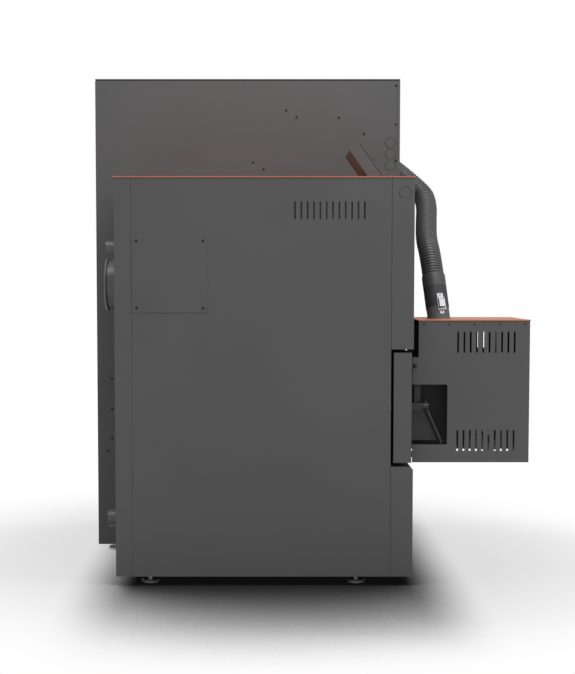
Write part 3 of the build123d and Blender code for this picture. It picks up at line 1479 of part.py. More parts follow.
with BuildPart(feeder_plane) as feeder_motor:
    box_top = feeder_high + motor_box[2]
    block(around(0, motor_box[0]), around(0, motor_box[1]), (feeder_high, box_top))
    fillet(feeder_motor.edges().filter_by(Axis(feeder_plane.origin, feeder_plane.z_dir)), 4)
    rod("Z", (0, 0, box_top), motor_length, motor_radius)
    rod("Z", (0, 0, feeder_high), 25, feeder_shaft_radius + shaft_clearance, mode=Mode.SUBTRACT)
finish(feeder_motor, "feeder_motor")

# Brackets: two tie bars across the hopper and a saddle that holds the feeder's head
near_inner = hopper_x + sheet - hose_start.X
far_inner = hopper_far_x - sheet - hose_start.X
with BuildPart(feeder_plane) as hopper_brackets:
    for place in tie_bar_places:
        bar_y = around(tie_bar_offset, tie_bar_size[0])
        block((near_inner, far_inner), bar_y, (place - tie_bar_sheet, place))
        block((near_inner, far_inner), (bar_y[0], bar_y[0] + tie_bar_sheet), (place - tie_bar_size[1], place))
        for side in (-1, 1):
            foot_x = (near_inner, near_inner + 2) if side < 0 else (far_inner - 2, far_inner)
            block(foot_x, bar_y, around(place, tie_bar_size[1]))
    block(
        (near_inner, feeder_tube_radius + 8),
        around(saddle_offset, saddle_size[0]),
        around(saddle_place, saddle_size[1]),
    )
    rod(
        "Z",
        (0, 0, saddle_place - saddle_size[1]),
        2 * saddle_size[1],
        feeder_tube_radius,
        mode=Mode.SUBTRACT,
    )
    with BuildSketch(chute_plane):
        Circle(hose_end_radius)
    extrude(amount=chute_length, mode=Mode.SUBTRACT)
with BuildPart() as drilled_brackets:
    add(hopper_brackets.part)
    side_screw_holes(tie_screws + saddle_screws, hopper_x, -1)
    side_screw_holes(tie_screws, hopper_far_x, 1)
finish(drilled_brackets, "hopper_brackets")

# Lid hinges: leaves on the rear panel with barrels level with the lid's top
lid_axis = (hopper_rear + hinge_barrel_radius, hopper_height - hinge_barrel_radius)
knuckle = lid_hinge_length / 3
knuckle_gap = 0.4
hinge_places = (hopper_x + lid_hinge_inset, hopper_far_x - lid_hinge_inset - lid_hinge_length)
with BuildPart() as lid_hinges:
    for x in hinge_places:
        leaf_y = (hopper_rear, hopper_rear + hinge_leaf_thickness)
        block((x, x + lid_hinge_length), leaf_y, (lid_axis[1] - hinge_leaf_height, lid_axis[1]))
        rod("X", (x, *lid_axis), lid_hinge_length, hinge_barrel_radius)
        block(
            (x + knuckle, x + 2 * knuckle),
            around(lid_axis[0], 2 * hinge_barrel_radius),
            (lid_axis[1] - hinge_barrel_radius - knuckle_gap, lid_axis[1] + hinge_barrel_radius),
            mode=Mode.SUBTRACT,
        )
        rod("X", (x, *lid_axis), lid_hinge_length, hinge_wire_radius)
finish(lid_hinges, "lid_hinges")

# Hopper lid with its inner rim and the middle knuckles of the hinges
lid_y = (hopper_front, hopper_rear - lid_edge_gap)
lid_z = (hopper_height - lid_lip, hopper_height)
rim_x = (hopper_x + fold + lid_rim_inset, hopper_far_x - fold - lid_rim_inset)
rim_y = (hopper_front + hopper_flange + fold + lid_rim_inset, lid_y[1] - fold - lid_rim_inset)
rim_z = (lid_z[0] - lid_rim_height, lid_z[1] - sheet)
with BuildPart() as hopper_lid:
    tray(hopper_span, lid_y, lid_z, "-Z")
    block(rim_x, rim_y, rim_z)
    block(
        (rim_x[0] + sheet, rim_x[1] - sheet),
        (rim_y[0] + sheet, rim_y[1] - sheet),
        rim_z,
        mode=Mode.SUBTRACT,
    )
    for x in hinge_places:
        knuckle_x = (x + knuckle + knuckle_gap, x + 2 * knuckle - knuckle_gap)
        block(knuckle_x, (lid_y[1], lid_axis[0]), (hopper_height - hinge_leaf_thickness, hopper_height))
        rod("X", (knuckle_x[0], *lid_axis), knuckle_x[1] - knuckle_x[0], hinge_barrel_radius)
        wire_fit = hinge_wire_radius + hinge_clearance
        rod("X", (knuckle_x[0], *lid_axis), knuckle_x[1] - knuckle_x[0], wire_fit, mode=Mode.SUBTRACT)
finish(hopper_lid, "hopper_lid")

# Panel screws of the boiler and the hopper
with BuildPart() as panel_screws:
    side_screws(access_screws, near_x - access_plate_thickness, -1)
    side_screws(tie_screws + saddle_screws + edge_screws + low_screws, hopper_x, -1)
    side_screws(tie_screws + edge_screws + low_screws, hopper_far_x, 1)
finish(panel_screws, "panel_screws")
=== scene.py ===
import math

import bmesh
import bpy
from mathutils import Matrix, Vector


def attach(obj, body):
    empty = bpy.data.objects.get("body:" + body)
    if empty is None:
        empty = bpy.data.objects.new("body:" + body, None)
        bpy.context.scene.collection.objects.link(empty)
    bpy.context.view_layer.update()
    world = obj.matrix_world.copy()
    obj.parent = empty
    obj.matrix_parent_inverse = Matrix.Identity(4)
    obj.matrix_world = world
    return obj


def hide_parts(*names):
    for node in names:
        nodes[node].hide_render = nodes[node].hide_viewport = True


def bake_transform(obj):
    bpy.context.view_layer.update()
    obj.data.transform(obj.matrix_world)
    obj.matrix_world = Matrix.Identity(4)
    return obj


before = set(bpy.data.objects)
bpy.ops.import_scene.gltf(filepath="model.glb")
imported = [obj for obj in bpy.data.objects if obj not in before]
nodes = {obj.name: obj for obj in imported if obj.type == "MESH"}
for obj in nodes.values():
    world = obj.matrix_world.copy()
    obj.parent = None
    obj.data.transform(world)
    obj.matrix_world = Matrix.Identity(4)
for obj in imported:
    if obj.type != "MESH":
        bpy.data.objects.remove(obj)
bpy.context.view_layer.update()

# Studio. The camera stands level with the boiler's upper half, square to its near side, where the
# photograph was taken; a long lens keeps both cabinets nearly in elevation.
scene = bpy.context.scene
scene.view_settings.view_transform = "Standard"
lens = bpy.data.cameras.new("camera")
lens.lens = 69.4
lens.sensor_width = 36
lens.shift_x = 0.0346
lens.shift_y = 0.0401
lens.clip_end = 40
camera = bpy.data.objects.new("camera", lens)
camera.location = (-4.3404, 0.119, 0.8988)
camera.rotation_euler = (math.radians(90 - 3.565), 0, math.radians(-90))
scene.collection.objects.link(camera)
scene.camera = camera

# Room light: a plain white surround that the camera sees as white, directly and through glass, and
# that lights the pieces and shows in their gloss at a lower level.
world = bpy.data.worlds.new("studio surround")
world.use_nodes = True
scene.world = world
tree = world.node_tree
tree.nodes.clear()
rays = tree.nodes.new("ShaderNodeLightPath")
seen = tree.nodes.new("ShaderNodeMath")
seen.operation = "MAXIMUM"
tree.links.new(rays.outputs["Is Camera Ray"], seen.inputs[0])
tree.links.new(rays.outputs["Is Transmission Ray"], seen.inputs[1])
strength = tree.nodes.new("ShaderNodeMapRange")
strength.inputs["To Min"].default_value = 0.62
strength.inputs["To Max"].default_value = 1.0
tree.links.new(seen.outputs[0], strength.inputs["Value"])
surround = tree.nodes.new("ShaderNodeBackground")
surround.inputs["Color"].default_value = (1, 1, 1, 1)
tree.links.new(strength.outputs["Result"], surround.inputs["Strength"])
world_out = tree.nodes.new("ShaderNodeOutputWorld")
tree.links.new(surround.outputs[0], world_out.inputs["Surface"])


# Lamps: a wide box overhead on the near side, and a smaller one before the burner.
def softbox(name, place, aim, size, watts):
    """A square area lamp that looks from its place to its aim."""
    lamp = bpy.data.lights.new(name, "AREA")
    lamp.size = size
    lamp.energy = watts
    carrier = bpy.data.objects.new(name, lamp)
    carrier.location = place
    carrier.rotation_euler = (Vector(aim) - Vector(place)).to_track_quat("-Z", "Y").to_euler()
    scene.collection.objects.link(carrier)


softbox("overhead softbox", (-1.5, -0.3, 4.0), (-0.3, 0.0, 1.2), 2.6, 100)
softbox("front softbox", (-2.6, -3.4, 2.6), (-0.3, -0.4, 0.9), 2.0, 30)

# Floor: one pale sheet that the feet stand on. To the camera it shows a painted shadow: its emitted
# colour darkens with ambient occlusion, deepest under the cabinets and along their near side, and a
# painted mask lightens it beside them.
floor_mesh = bpy.data.meshes.new("floor")
half = 14
corners = [(-half, -half, 0), (half, -half, 0), (half, half, 0), (-half, half, 0)]
floor_mesh.from_pydata(corners, [], [(0, 1, 2, 3)])
floor = bpy.data.objects.new("floor", floor_mesh)
scene.collection.objects.link(floor)
floor_paint = bpy.data.materials.new("floor paint")
floor_paint.use_nodes = True
tree = floor_paint.node_tree
tree.nodes.clear()
matt = tree.nodes.new("ShaderNodeBsdfDiffuse")
matt.inputs["Color"].default_value = (0.36, 0.36, 0.36, 1)
# Painted shadow: ambient occlusion through this ramp sets the floor's emitted colour, near black under
# the cabinets and white away from them.
shelter = tree.nodes.new("ShaderNodeAmbientOcclusion")
shelter.inputs["Distance"].default_value = 0.95
shelter.samples = 24
depth = tree.nodes.new("ShaderNodeValToRGB")
depth.color_ramp.interpolation = "B_SPLINE"
depth.color_ramp.elements[0].position = 0.30
depth.color_ramp.elements[0].color = (0.004, 0.004, 0.004, 1)
depth.color_ramp.elements[1].position = 0.97
depth.color_ramp.elements[1].color = (1, 1, 1, 1)
for step, level in ((0.55, 0.015), (0.70, 0.09), (0.84, 0.36), (0.93, 0.86)):
    depth.color_ramp.elements.new(step).color = (level, level, level, 1)
tree.links.new(shelter.outputs["AO"], depth.inputs["Fac"])
# Painted shadow mask: the floor's own Y coordinate lightens the painted shadow beside the cabinets, so
# that it stays narrow in front of them.
place = tree.nodes.new("ShaderNodeTexCoord")
along = tree.nodes.new("ShaderNodeSeparateXYZ")
tree.links.new(place.outputs["Object"], along.inputs["Vector"])
from_middle = tree.nodes.new("ShaderNodeMath")
from_middle.operation = "SUBTRACT"
from_middle.inputs[1].default_value = 0.10
tree.links.new(along.outputs["Y"], from_middle.inputs[0])
beside = tree.nodes.new("ShaderNodeMath")
beside.operation = "ABSOLUTE"
tree.links.new(from_middle.outputs[0], beside.inputs[0])
painted_shadow_side_fade = tree.nodes.new("ShaderNodeMapRange")
painted_shadow_side_fade.interpolation_type = "SMOOTHSTEP"
beside_from, beside_to = 0.40, 0.62
painted_shadow_side_fade.inputs["From Min"].default_value = beside_from
painted_shadow_side_fade.inputs["From Max"].default_value = beside_to
painted_shadow_side_fade.inputs["To Max"].default_value = 0.72
tree.links.new(beside.outputs[0], painted_shadow_side_fade.inputs["Value"])
paler = tree.nodes.new("ShaderNodeMix")
paler.data_type = "RGBA"
paler.inputs["B"].default_value = (1, 1, 1, 1)
tree.links.new(painted_shadow_side_fade.outputs["Result"], paler.inputs["Factor"])
tree.links.new(depth.outputs["Color"], paler.inputs["A"])
bright = tree.nodes.new("ShaderNodeEmission")
tree.links.new(paler.outputs["Result"], bright.inputs["Color"])
rays = tree.nodes.new("ShaderNodeLightPath")
sight = tree.nodes.new("ShaderNodeMath")
sight.operation = "MAXIMUM"
tree.links.new(rays.outputs["Is Camera Ray"], sight.inputs[0])
tree.links.new(rays.outputs["Is Glossy Ray"], sight.inputs[1])
clear = tree.nodes.new("ShaderNodeMath")
clear.operation = "MAXIMUM"
tree.links.new(sight.outputs[0], clear.inputs[0])
tree.links.new(rays.outputs["Is Transmission Ray"], clear.inputs[1])
choice = tree.nodes.new("ShaderNodeMixShader")
tree.links.new(clear.outputs[0], choice.inputs["Fac"])
tree.links.new(matt.outputs[0], choice.inputs[1])
tree.links.new(bright.outputs[0], choice.inputs[2])
floor_out = tree.nodes.new("ShaderNodeOutputMaterial")
tree.links.new(choice.outputs[0], floor_out.inputs["Surface"])
floor_mesh.materials.append(floor_paint)


# Base frame: a folded sheet tray under the boiler in the casing's dark grey powder coat, which has
# a fine orange-peel skin.
def powder_coat(name, colour, roughness, grain=900):
    """A powder-coated surface: slight drifts of tone under a fine orange-peel bump."""
    paint = bpy.data.materials.new(name)
    paint.use_nodes = True
    tree = paint.node_tree
    coat = tree.nodes["Principled BSDF"]
    place = tree.nodes.new("ShaderNodeTexCoord")
    drift = tree.nodes.new("ShaderNodeTexNoise")
    drift.inputs["Scale"].default_value = 2.2
    drift.inputs["Detail"].default_value = 4
    tree.links.new(place.outputs["Object"], drift.inputs["Vector"])
    tone = tree.nodes.new("ShaderNodeMapRange")
    tone.inputs["From Min"].default_value = 0.3
    tone.inputs["From Max"].default_value = 0.7
    tone.inputs["To Min"].default_value = 0.92
    tone.inputs["To Max"].default_value = 1.08
    tree.links.new(drift.outputs["Fac"], tone.inputs["Value"])
    tint = tree.nodes.new("ShaderNodeMix")
    tint.data_type = "RGBA"
    tint.blend_type = "MULTIPLY"
    tint.inputs["Factor"].default_value = 1
    tint.inputs["A"].default_value = (*colour, 1)
    tree.links.new(tone.outputs["Result"], tint.inputs["B"])
    tree.links.new(tint.outputs["Result"], coat.inputs["Base Color"])
    peel = tree.nodes.new("ShaderNodeTexNoise")
    peel.inputs["Scale"].default_value = grain
    peel.inputs["Detail"].default_value = 2
    tree.links.new(place.outputs["Object"], peel.inputs["Vector"])
    bump = tree.nodes.new("ShaderNodeBump")
    bump.inputs["Strength"].default_value = 0.25
    bump.inputs["Distance"].default_value = 0.0004
    tree.links.new(peel.outputs["Fac"], bump.inputs["Height"])
    tree.links.new(bump.outputs["Normal"], coat.inputs["Normal"])
    gloss = tree.nodes.new("ShaderNodeMapRange")
    gloss.inputs["To Min"].default_value = roughness - 0.06
    gloss.inputs["To Max"].default_value = roughness + 0.06
    tree.links.new(drift.outputs["Fac"], gloss.inputs["Value"])
    tree.links.new(gloss.outputs["Result"], coat.inputs["Roughness"])
    return paint


def dress(names, finish):
    """Gives CAD nodes a finish on their own material slot."""
    for name in names:
        nodes[name].material_slots[0].material = finish


grey_coat = powder_coat("dark grey powder coat", (0.078, 0.078, 0.079), 0.5)
dress(["base_frame"], grey_coat)


# Levelling feet: turned and zinc-plated pads on threaded stems, screwed up into the frames.
def mill_steel(name, colour, roughness):
    """Bare or plated metal: cloudy tone, and streaks along the rolling direction."""
    steel = bpy.data.materials.new(name)
    steel.use_nodes = True
    tree = steel.node_tree
    skin = tree.nodes["Principled BSDF"]
    skin.inputs["Metallic"].default_value = 0.85
    place = tree.nodes.new("ShaderNodeTexCoord")
    stretch = tree.nodes.new("ShaderNodeMapping")
    stretch.inputs["Scale"].default_value = (60, 60, 3)
    tree.links.new(place.outputs["Object"], stretch.inputs["Vector"])
    streaks = tree.nodes.new("ShaderNodeTexNoise")
    streaks.inputs["Scale"].default_value = 2
    streaks.inputs["Detail"].default_value = 6
    tree.links.new(stretch.outputs["Vector"], streaks.inputs["Vector"])
    clouds = tree.nodes.new("ShaderNodeTexNoise")
    clouds.inputs["Scale"].default_value = 9
    clouds.inputs["Detail"].default_value = 5
    tree.links.new(place.outputs["Object"], clouds.inputs["Vector"])
    tone = tree.nodes.new("ShaderNodeValToRGB")
    tone.color_ramp.elements[0].position = 0.3
    tone.color_ramp.elements[0].color = (*[part * 0.7 for part in colour], 1)
    tone.color_ramp.elements[1].position = 0.7
    tone.color_ramp.elements[1].color = (*colour, 1)
    tree.links.new(clouds.outputs["Fac"], tone.inputs["Fac"])
    tree.links.new(tone.outputs["Color"], skin.inputs["Base Color"])
    dull = tree.nodes.new("ShaderNodeMapRange")
    dull.inputs["To Min"].default_value = roughness - 0.1
    dull.inputs["To Max"].default_value = roughness + 0.12
    tree.links.new(streaks.outputs["Fac"], dull.inputs["Value"])
    tree.links.new(dull.outputs["Result"], skin.inputs["Roughness"])
    return steel


zinc = mill_steel("bright zinc plate", (0.62, 0.63, 0.65), 0.32)
dress(["levelling_feet"], zinc)

# Vessel: water jacket, firebox, fire tubes with turbulators and smoke box, welded from rolled plate
# that heat and handling have dulled in clouds; the loose cleaning lid closes it.
plate_steel = mill_steel("mill finish plate", (0.22, 0.21, 0.20), 0.5)
dress(
    ["water_jacket", "firebox", "smoke_box", "fire_tubes", "turbulators", "cleaning_lid"],
    plate_steel,
)


# Insulation: mineral wool boards faced with black glass tissue, tucked round the vessel.
def mineral_wool(name, colour):
    """A felted board: coarse tufts in the tone and in the bump."""
    wool = bpy.data.materials.new(name)
    wool.use_nodes = True
    tree = wool.node_tree
    felt = tree.nodes["Principled BSDF"]
    felt.inputs["Roughness"].default_value = 0.95
    place = tree.nodes.new("ShaderNodeTexCoord")
    tufts = tree.nodes.new("ShaderNodeTexNoise")
    tufts.inputs["Scale"].default_value = 90
    tufts.inputs["Detail"].default_value = 8
    tree.links.new(place.outputs["Object"], tufts.inputs["Vector"])
    tone = tree.nodes.new("ShaderNodeValToRGB")
    tone.color_ramp.elements[0].position = 0.35
    tone.color_ramp.elements[0].color = (*[part * 0.6 for part in colour], 1)
    tone.color_ramp.elements[1].position = 0.7
    tone.color_ramp.elements[1].color = (*colour, 1)
    tree.links.new(tufts.outputs["Fac"], tone.inputs["Fac"])
    tree.links.new(tone.outputs["Color"], felt.inputs["Base Color"])
    bump = tree.nodes.new("ShaderNodeBump")
    bump.inputs["Strength"].default_value = 0.8
    bump.inputs["Distance"].default_value = 0.002
    tree.links.new(tufts.outputs["Fac"], bump.inputs["Height"])
    tree.links.new(bump.outputs["Normal"], felt.inputs["Normal"])
    return wool


faced_wool = mineral_wool("black faced mineral wool", (0.030, 0.030, 0.028))
dress(["insulation"], faced_wool)

# Casing of the boiler: folded sheet steel side panels with pressed vents, rear cover, front covers
# and the square access plate, hung on the frame and screwed at their edges.
dress(
    [
        "near_side_panel",
        "far_side_panel",
        "rear_cover",
        "upper_front_cover",
        "lower_front_cover",
        "access_plate",
    ],
    grey_coat,
)

# Top cover: one flat folded sheet in a copper orange powder coat, laid on the casing's rim.
orange_coat = powder_coat("copper orange powder coat", (0.46, 0.15, 0.07), 0.42)
dress(["top_cover"], orange_coat)

# Flue spigot and water pipes: round stubs in a glossy grey paint, welded to the vessel and let
# through the rear cover.
pipe_paint = powder_coat("grey pipe paint", (0.12, 0.12, 0.122), 0.3, grain=300)
dress(["flue_spigot", "supply_pipe", "return_pipe"], pipe_paint)

# Ash drawer: a welded plate box that slides in under the grate, behind the lower front cover.
dress(["ash_drawer"], plate_steel)

# Panel screws: blackened pan-head screws with cross recesses, driven through both cabinets' panels
# into the brackets and folds behind them, each stopped at its own turn.
pan_profile = ((1.0, 0.0), (1.0, 0.35), (0.86, 0.82), (0.62, 1.0))
recess_top, recess_floor, recess_taper = 0.98, 0.35, 0.7
recess_star = (0.46, 0.26, 0.15, 0.26)
shank_radius, shank_depth, head_sides = 0.375, 3.75, 16
pan_head = bmesh.new()
rows = []
shank = [(shank_radius, -shank_depth), (shank_radius, 0.0)]
rings = [([radius] * head_sides, height) for radius, height in shank + list(pan_profile)]
for height, shrink in ((recess_top, 1.0), (recess_floor, recess_taper)):
    rings.append(([recess_star[k % 4] * shrink for k in range(head_sides)], height))
for radii, height in rings:
    row = []
    for k, radius in enumerate(radii):
        angle = 2 * math.pi * k / head_sides
        row.append(pan_head.verts.new((radius * math.cos(angle), radius * math.sin(angle), height)))
    rows.append(row)
for lower, upper in zip(rows, rows[1:]):
    for k in range(head_sides):
        other = (k + 1) % head_sides
        pan_head.faces.new((lower[k], lower[other], upper[other], upper[k]))
pan_head.faces.new(rows[0][::-1])
pan_head.faces.new(rows[-1])
bmesh.ops.recalc_face_normals(pan_head, faces=pan_head.faces)
pan_mesh = bpy.data.meshes.new("pan head screw")
pan_head.to_mesh(pan_mesh)
pan_head.free()
pan_screw = bpy.data.objects.new("pan head screw", pan_mesh)

screw_tree = bpy.data.node_groups.new("screws on their marks", "GeometryNodeTree")
sockets = screw_tree.interface
sockets.new_socket("Marks", in_out="INPUT", socket_type="NodeSocketGeometry")
screw_in = sockets.new_socket("Screw", in_out="INPUT", socket_type="NodeSocketObject")
seed_in = sockets.new_socket("Turn Seed", in_out="INPUT", socket_type="NodeSocketInt")
finish_in = sockets.new_socket("Finish", in_out="INPUT", socket_type="NodeSocketMaterial")
sockets.new_socket("Screws", in_out="OUTPUT", socket_type="NodeSocketGeometry")
given = screw_tree.nodes.new("NodeGroupInput")
model = screw_tree.nodes.new("GeometryNodeObjectInfo")
screw_tree.links.new(given.outputs["Screw"], model.inputs["Object"])
facing = screw_tree.nodes.new("GeometryNodeInputNamedAttribute")
facing.data_type = "FLOAT_VECTOR"
facing.inputs["Name"].default_value = "facing"
upright = screw_tree.nodes.new("FunctionNodeAlignRotationToVector")
upright.axis = "Z"
screw_tree.links.new(facing.outputs["Attribute"], upright.inputs["Vector"])
stop = screw_tree.nodes.new("FunctionNodeRandomValue")
stop.data_type = "FLOAT"
stop.inputs["Max"].default_value = math.pi
screw_tree.links.new(given.outputs["Turn Seed"], stop.inputs["Seed"])
spin = screw_tree.nodes.new("ShaderNodeCombineXYZ")
screw_tree.links.new([s for s in stop.outputs if s.enabled][0], spin.inputs["Z"])
turn = screw_tree.nodes.new("FunctionNodeEulerToRotation")
screw_tree.links.new(spin.outputs[0], turn.inputs[0])
turned = screw_tree.nodes.new("FunctionNodeRotateRotation")
turned.rotation_space = "LOCAL"
screw_tree.links.new(upright.outputs["Rotation"], turned.inputs["Rotation"])
screw_tree.links.new(turn.outputs[0], turned.inputs["Rotate By"])
size = screw_tree.nodes.new("GeometryNodeInputNamedAttribute")
size.data_type = "FLOAT_VECTOR"
size.inputs["Name"].default_value = "head_size"
driven = screw_tree.nodes.new("GeometryNodeInstanceOnPoints")
screw_tree.links.new(given.outputs["Marks"], driven.inputs["Points"])
screw_tree.links.new(model.outputs["Geometry"], driven.inputs["Instance"])
screw_tree.links.new(turned.outputs["Rotation"], driven.inputs["Rotation"])
screw_tree.links.new(size.outputs["Attribute"], driven.inputs["Scale"])
real = screw_tree.nodes.new("GeometryNodeRealizeInstances")
screw_tree.links.new(driven.outputs["Instances"], real.inputs["Geometry"])
finished = screw_tree.nodes.new("GeometryNodeSetMaterial")
screw_tree.links.new(real.outputs["Geometry"], finished.inputs["Geometry"])
screw_tree.links.new(given.outputs["Finish"], finished.inputs["Material"])
result = screw_tree.nodes.new("NodeGroupOutput")
screw_tree.links.new(finished.outputs["Geometry"], result.inputs["Screws"])


def drive_screws(name, marks, model, seed, finish):
    """Screws on (place, facing, head size) marks, as one plain mesh."""
    spots = bpy.data.meshes.new(name + " marks")
    spots.from_pydata([place for place, facing, size in marks], [], [])
    for label, column in (("facing", 1), ("head_size", 2)):
        layer = spots.attributes.new(label, "FLOAT_VECTOR", "POINT")
        layer.data.foreach_set("vector", [part for mark in marks for part in mark[column]])
    carrier = bpy.data.objects.new(name + " marks", spots)
    scene.collection.objects.link(carrier)
    rule = carrier.modifiers.new("screws", "NODES")
    rule.node_group = screw_tree
    rule[screw_in.identifier] = model
    rule[seed_in.identifier] = seed
    rule[finish_in.identifier] = finish
    bpy.context.view_layer.update()
    placed = carrier.evaluated_get(bpy.context.evaluated_depsgraph_get())
    mesh = bpy.data.meshes.new_from_object(placed)
    carrier.modifiers.remove(rule)
    bpy.data.objects.remove(carrier)
    mesh.name = name
    piece = bpy.data.objects.new(name, mesh)
    scene.collection.objects.link(piece)
    return piece


screw_black = mill_steel("blackened screw steel", (0.045, 0.045, 0.046), 0.45)
panel_head = (0.0040, 0.0040, 0.0016)
cabinet_front, hopper_height = -0.3210, 1.5660
hopper_near_face, hopper_far_face, access_face = -0.0344, 0.5256, -0.5256
feeder_head, feeder_foot = Vector((-0.1502, 1.3988)), Vector((0.5664, 0.2783))
up_feeder = (feeder_head - feeder_foot).normalized()
off_feeder = Vector((up_feeder.y, -up_feeder.x))


def feeder_mark(offset, along):
    """The (Y, Z) place at an offset above the feeder's axis and a distance along it."""
    return tuple(feeder_head + up_feeder * along + off_feeder * offset)


front_drops = (0.265, 0.147, 0.021)
tie_offset, tie_half_spacing, tie_places = 0.1810, 0.0202, (-0.051, -0.252)
saddle_offset, saddle_half_spacing, saddle_place = -0.0060, 0.0490, 0.0225
rear_screws = ((0.946, 0.481), (0.946, 0.581), (0.947, 0.383), (0.961, 0.340))
access_middle, access_half_spacing = (0.3960, 0.9240), (0.0975, 0.0985)
hopper_marks = [(cabinet_front + 0.007, hopper_height - drop) for drop in front_drops]
for along in tie_places:
    hopper_marks += [feeder_mark(tie_offset + side * tie_half_spacing, along) for side in (-1, 1)]
hopper_marks += [(cabinet_front + depth, z) for depth, z in rear_screws]
saddle_marks = [feeder_mark(saddle_offset + side * saddle_half_spacing, saddle_place) for side in (-1, 1)]
access_marks = []
for y_side in (-1, 1):
    for z_side in (-1, 1):
        y = access_middle[0] + y_side * access_half_spacing[0]
        access_marks.append((y, access_middle[1] + z_side * access_half_spacing[1]))
panel_marks = [((hopper_near_face, y, z), (-1, 0, 0), panel_head) for y, z in hopper_marks + saddle_marks]
panel_marks += [((hopper_far_face, y, z), (1, 0, 0), panel_head) for y, z in hopper_marks]
panel_marks += [((access_face, y, z), (-1, 0, 0), panel_head) for y, z in access_marks]
cross_screws = drive_screws("cross_recess_panel_screws", panel_marks, pan_screw, 3, screw_black)
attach(cross_screws, "boiler")
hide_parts("panel_screws")


# Controller: a slanted sheet case with a fascia in front of a shadow gap, a dark display window, a
# turned knob and a rocker switch, fixed on the top cover.
def moulded_plastic(name, colour, roughness, metallic=0.0):
    """A moulded or cast skin: faint drifts of tone over a spark-eroded bump."""
    plastic = bpy.data.materials.new(name)
    plastic.use_nodes = True
    tree = plastic.node_tree
    skin = tree.nodes["Principled BSDF"]
    skin.inputs["Roughness"].default_value = roughness
    skin.inputs["Metallic"].default_value = metallic
    place = tree.nodes.new("ShaderNodeTexCoord")
    drift = tree.nodes.new("ShaderNodeTexNoise")
    drift.inputs["Scale"].default_value = 25
    drift.inputs["Detail"].default_value = 4
    tree.links.new(place.outputs["Object"], drift.inputs["Vector"])
    tone = tree.nodes.new("ShaderNodeValToRGB")
    tone.color_ramp.elements[0].position = 0.3
    tone.color_ramp.elements[0].color = (*[part * 0.85 for part in colour], 1)
    tone.color_ramp.elements[1].position = 0.7
    tone.color_ramp.elements[1].color = (*[part * 1.1 for part in colour], 1)
    tree.links.new(drift.outputs["Fac"], tone.inputs["Fac"])
    tree.links.new(tone.outputs["Color"], skin.inputs["Base Color"])
    sparks = tree.nodes.new("ShaderNodeTexNoise")
    sparks.inputs["Scale"].default_value = 1600
    sparks.inputs["Detail"].default_value = 3
    tree.links.new(place.outputs["Object"], sparks.inputs["Vector"])
    bump = tree.nodes.new("ShaderNodeBump")
    bump.inputs["Strength"].default_value = 0.3
    bump.inputs["Distance"].default_value = 0.0002
    tree.links.new(sparks.outputs["Fac"], bump.inputs["Height"])
    tree.links.new(bump.outputs["Normal"], skin.inputs["Normal"])
    return plastic


dress(["controller_case", "controller_fascia"], grey_coat)
dress(["display"], moulded_plastic("display window", (0.008, 0.014, 0.016), 0.08))
black_plastic = moulded_plastic("black moulded plastic", (0.018, 0.018, 0.02), 0.45)
dress(["controller_knob", "main_switch"], black_plastic)

# Burner door: a folded pan filled with wool behind a woven rope seal, on two pinned hinges, with a
# turning handle whose claw draws it against the frame.
dress(["burner_door", "door_hinges"], grey_coat)
dress(["door_insulation"], faced_wool)
dress(["door_seal"], mineral_wool("rope seal", (0.55, 0.55, 0.52)))
dress(["door_handle", "handle_bracket"], black_plastic)

# Burner: a steel tube into the firebox, a blackened housing with the feed screw, its gear motor, the
# fan with its wheel, and the terminal box, bolted together on the door.
dress(["burner_tube", "burner_feed_screw", "fan_housing"], plate_steel)
dress(["burner_housing"], moulded_plastic("blackened steel", (0.024, 0.024, 0.025), 0.6, 0.3))
dress(["fan_wheel"], zinc)
cast_alloy = moulded_plastic("cast alloy", (0.42, 0.43, 0.44), 0.4, 0.9)
dress(["burner_gear_motor"], cast_alloy)
dress(["terminal_box"], black_plastic)
dress(["pellet_spigot"], grey_coat)

# Burner cover: three folded sheets with vent slots and a window, under a copper orange top.
dress(["burner_cover"], grey_coat)
dress(["burner_cover_top"], orange_coat)

# Cover screws: small blackened pan heads along the top edge, and low down on each side one large
# screw that frees the cover; all have cross recesses.
small_head, large_head = (0.0026, 0.0026, 0.0016), (0.0065, 0.0065, 0.0050)
cover_near_face, cover_far_face = -0.4524, -0.1314
small_reaches, small_height = (0.342, 0.267, 0.190, 0.113, 0.039), 0.7755
large_reach, large_height = 0.012, 0.6510
cover_marks = []
for x, side in ((cover_near_face, -1), (cover_far_face, 1)):
    for reach in small_reaches:
        cover_marks.append(((x, cabinet_front - reach, small_height), (side, 0, 0), small_head))
    cover_marks.append(((x, cabinet_front - large_reach, large_height), (side, 0, 0), large_head))
small_screws = drive_screws("cross_recess_cover_screws", cover_marks, pan_screw, 8, screw_black)
bpy.data.objects.remove(pan_screw)
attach(small_screws, "door")
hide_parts("cover_screws")

# Hopper: four folded sheet panels on a base pan, a sloping zinc-plated floor that feeds the screw,
# and a full-depth lid on two wire hinges at the rear.
dress(
    ["hopper_near_panel", "hopper_far_panel", "hopper_front_panel", "hopper_rear_panel", "hopper_lid"],
    grey_coat,
)
dress(["hopper_base"], plate_steel)
dress(["hopper_floor", "lid_hinges"], zinc)

# Feeder: a steel tube with its lifting screw through the hopper, a gear motor at its head, and
# zinc-plated brackets and tie bars that hold it to the near and far panels.
dress(["feeder_tube", "feeder_screw"], plate_steel)
dress(["feeder_motor"], cast_alloy)
dress(["hopper_brackets"], zinc)

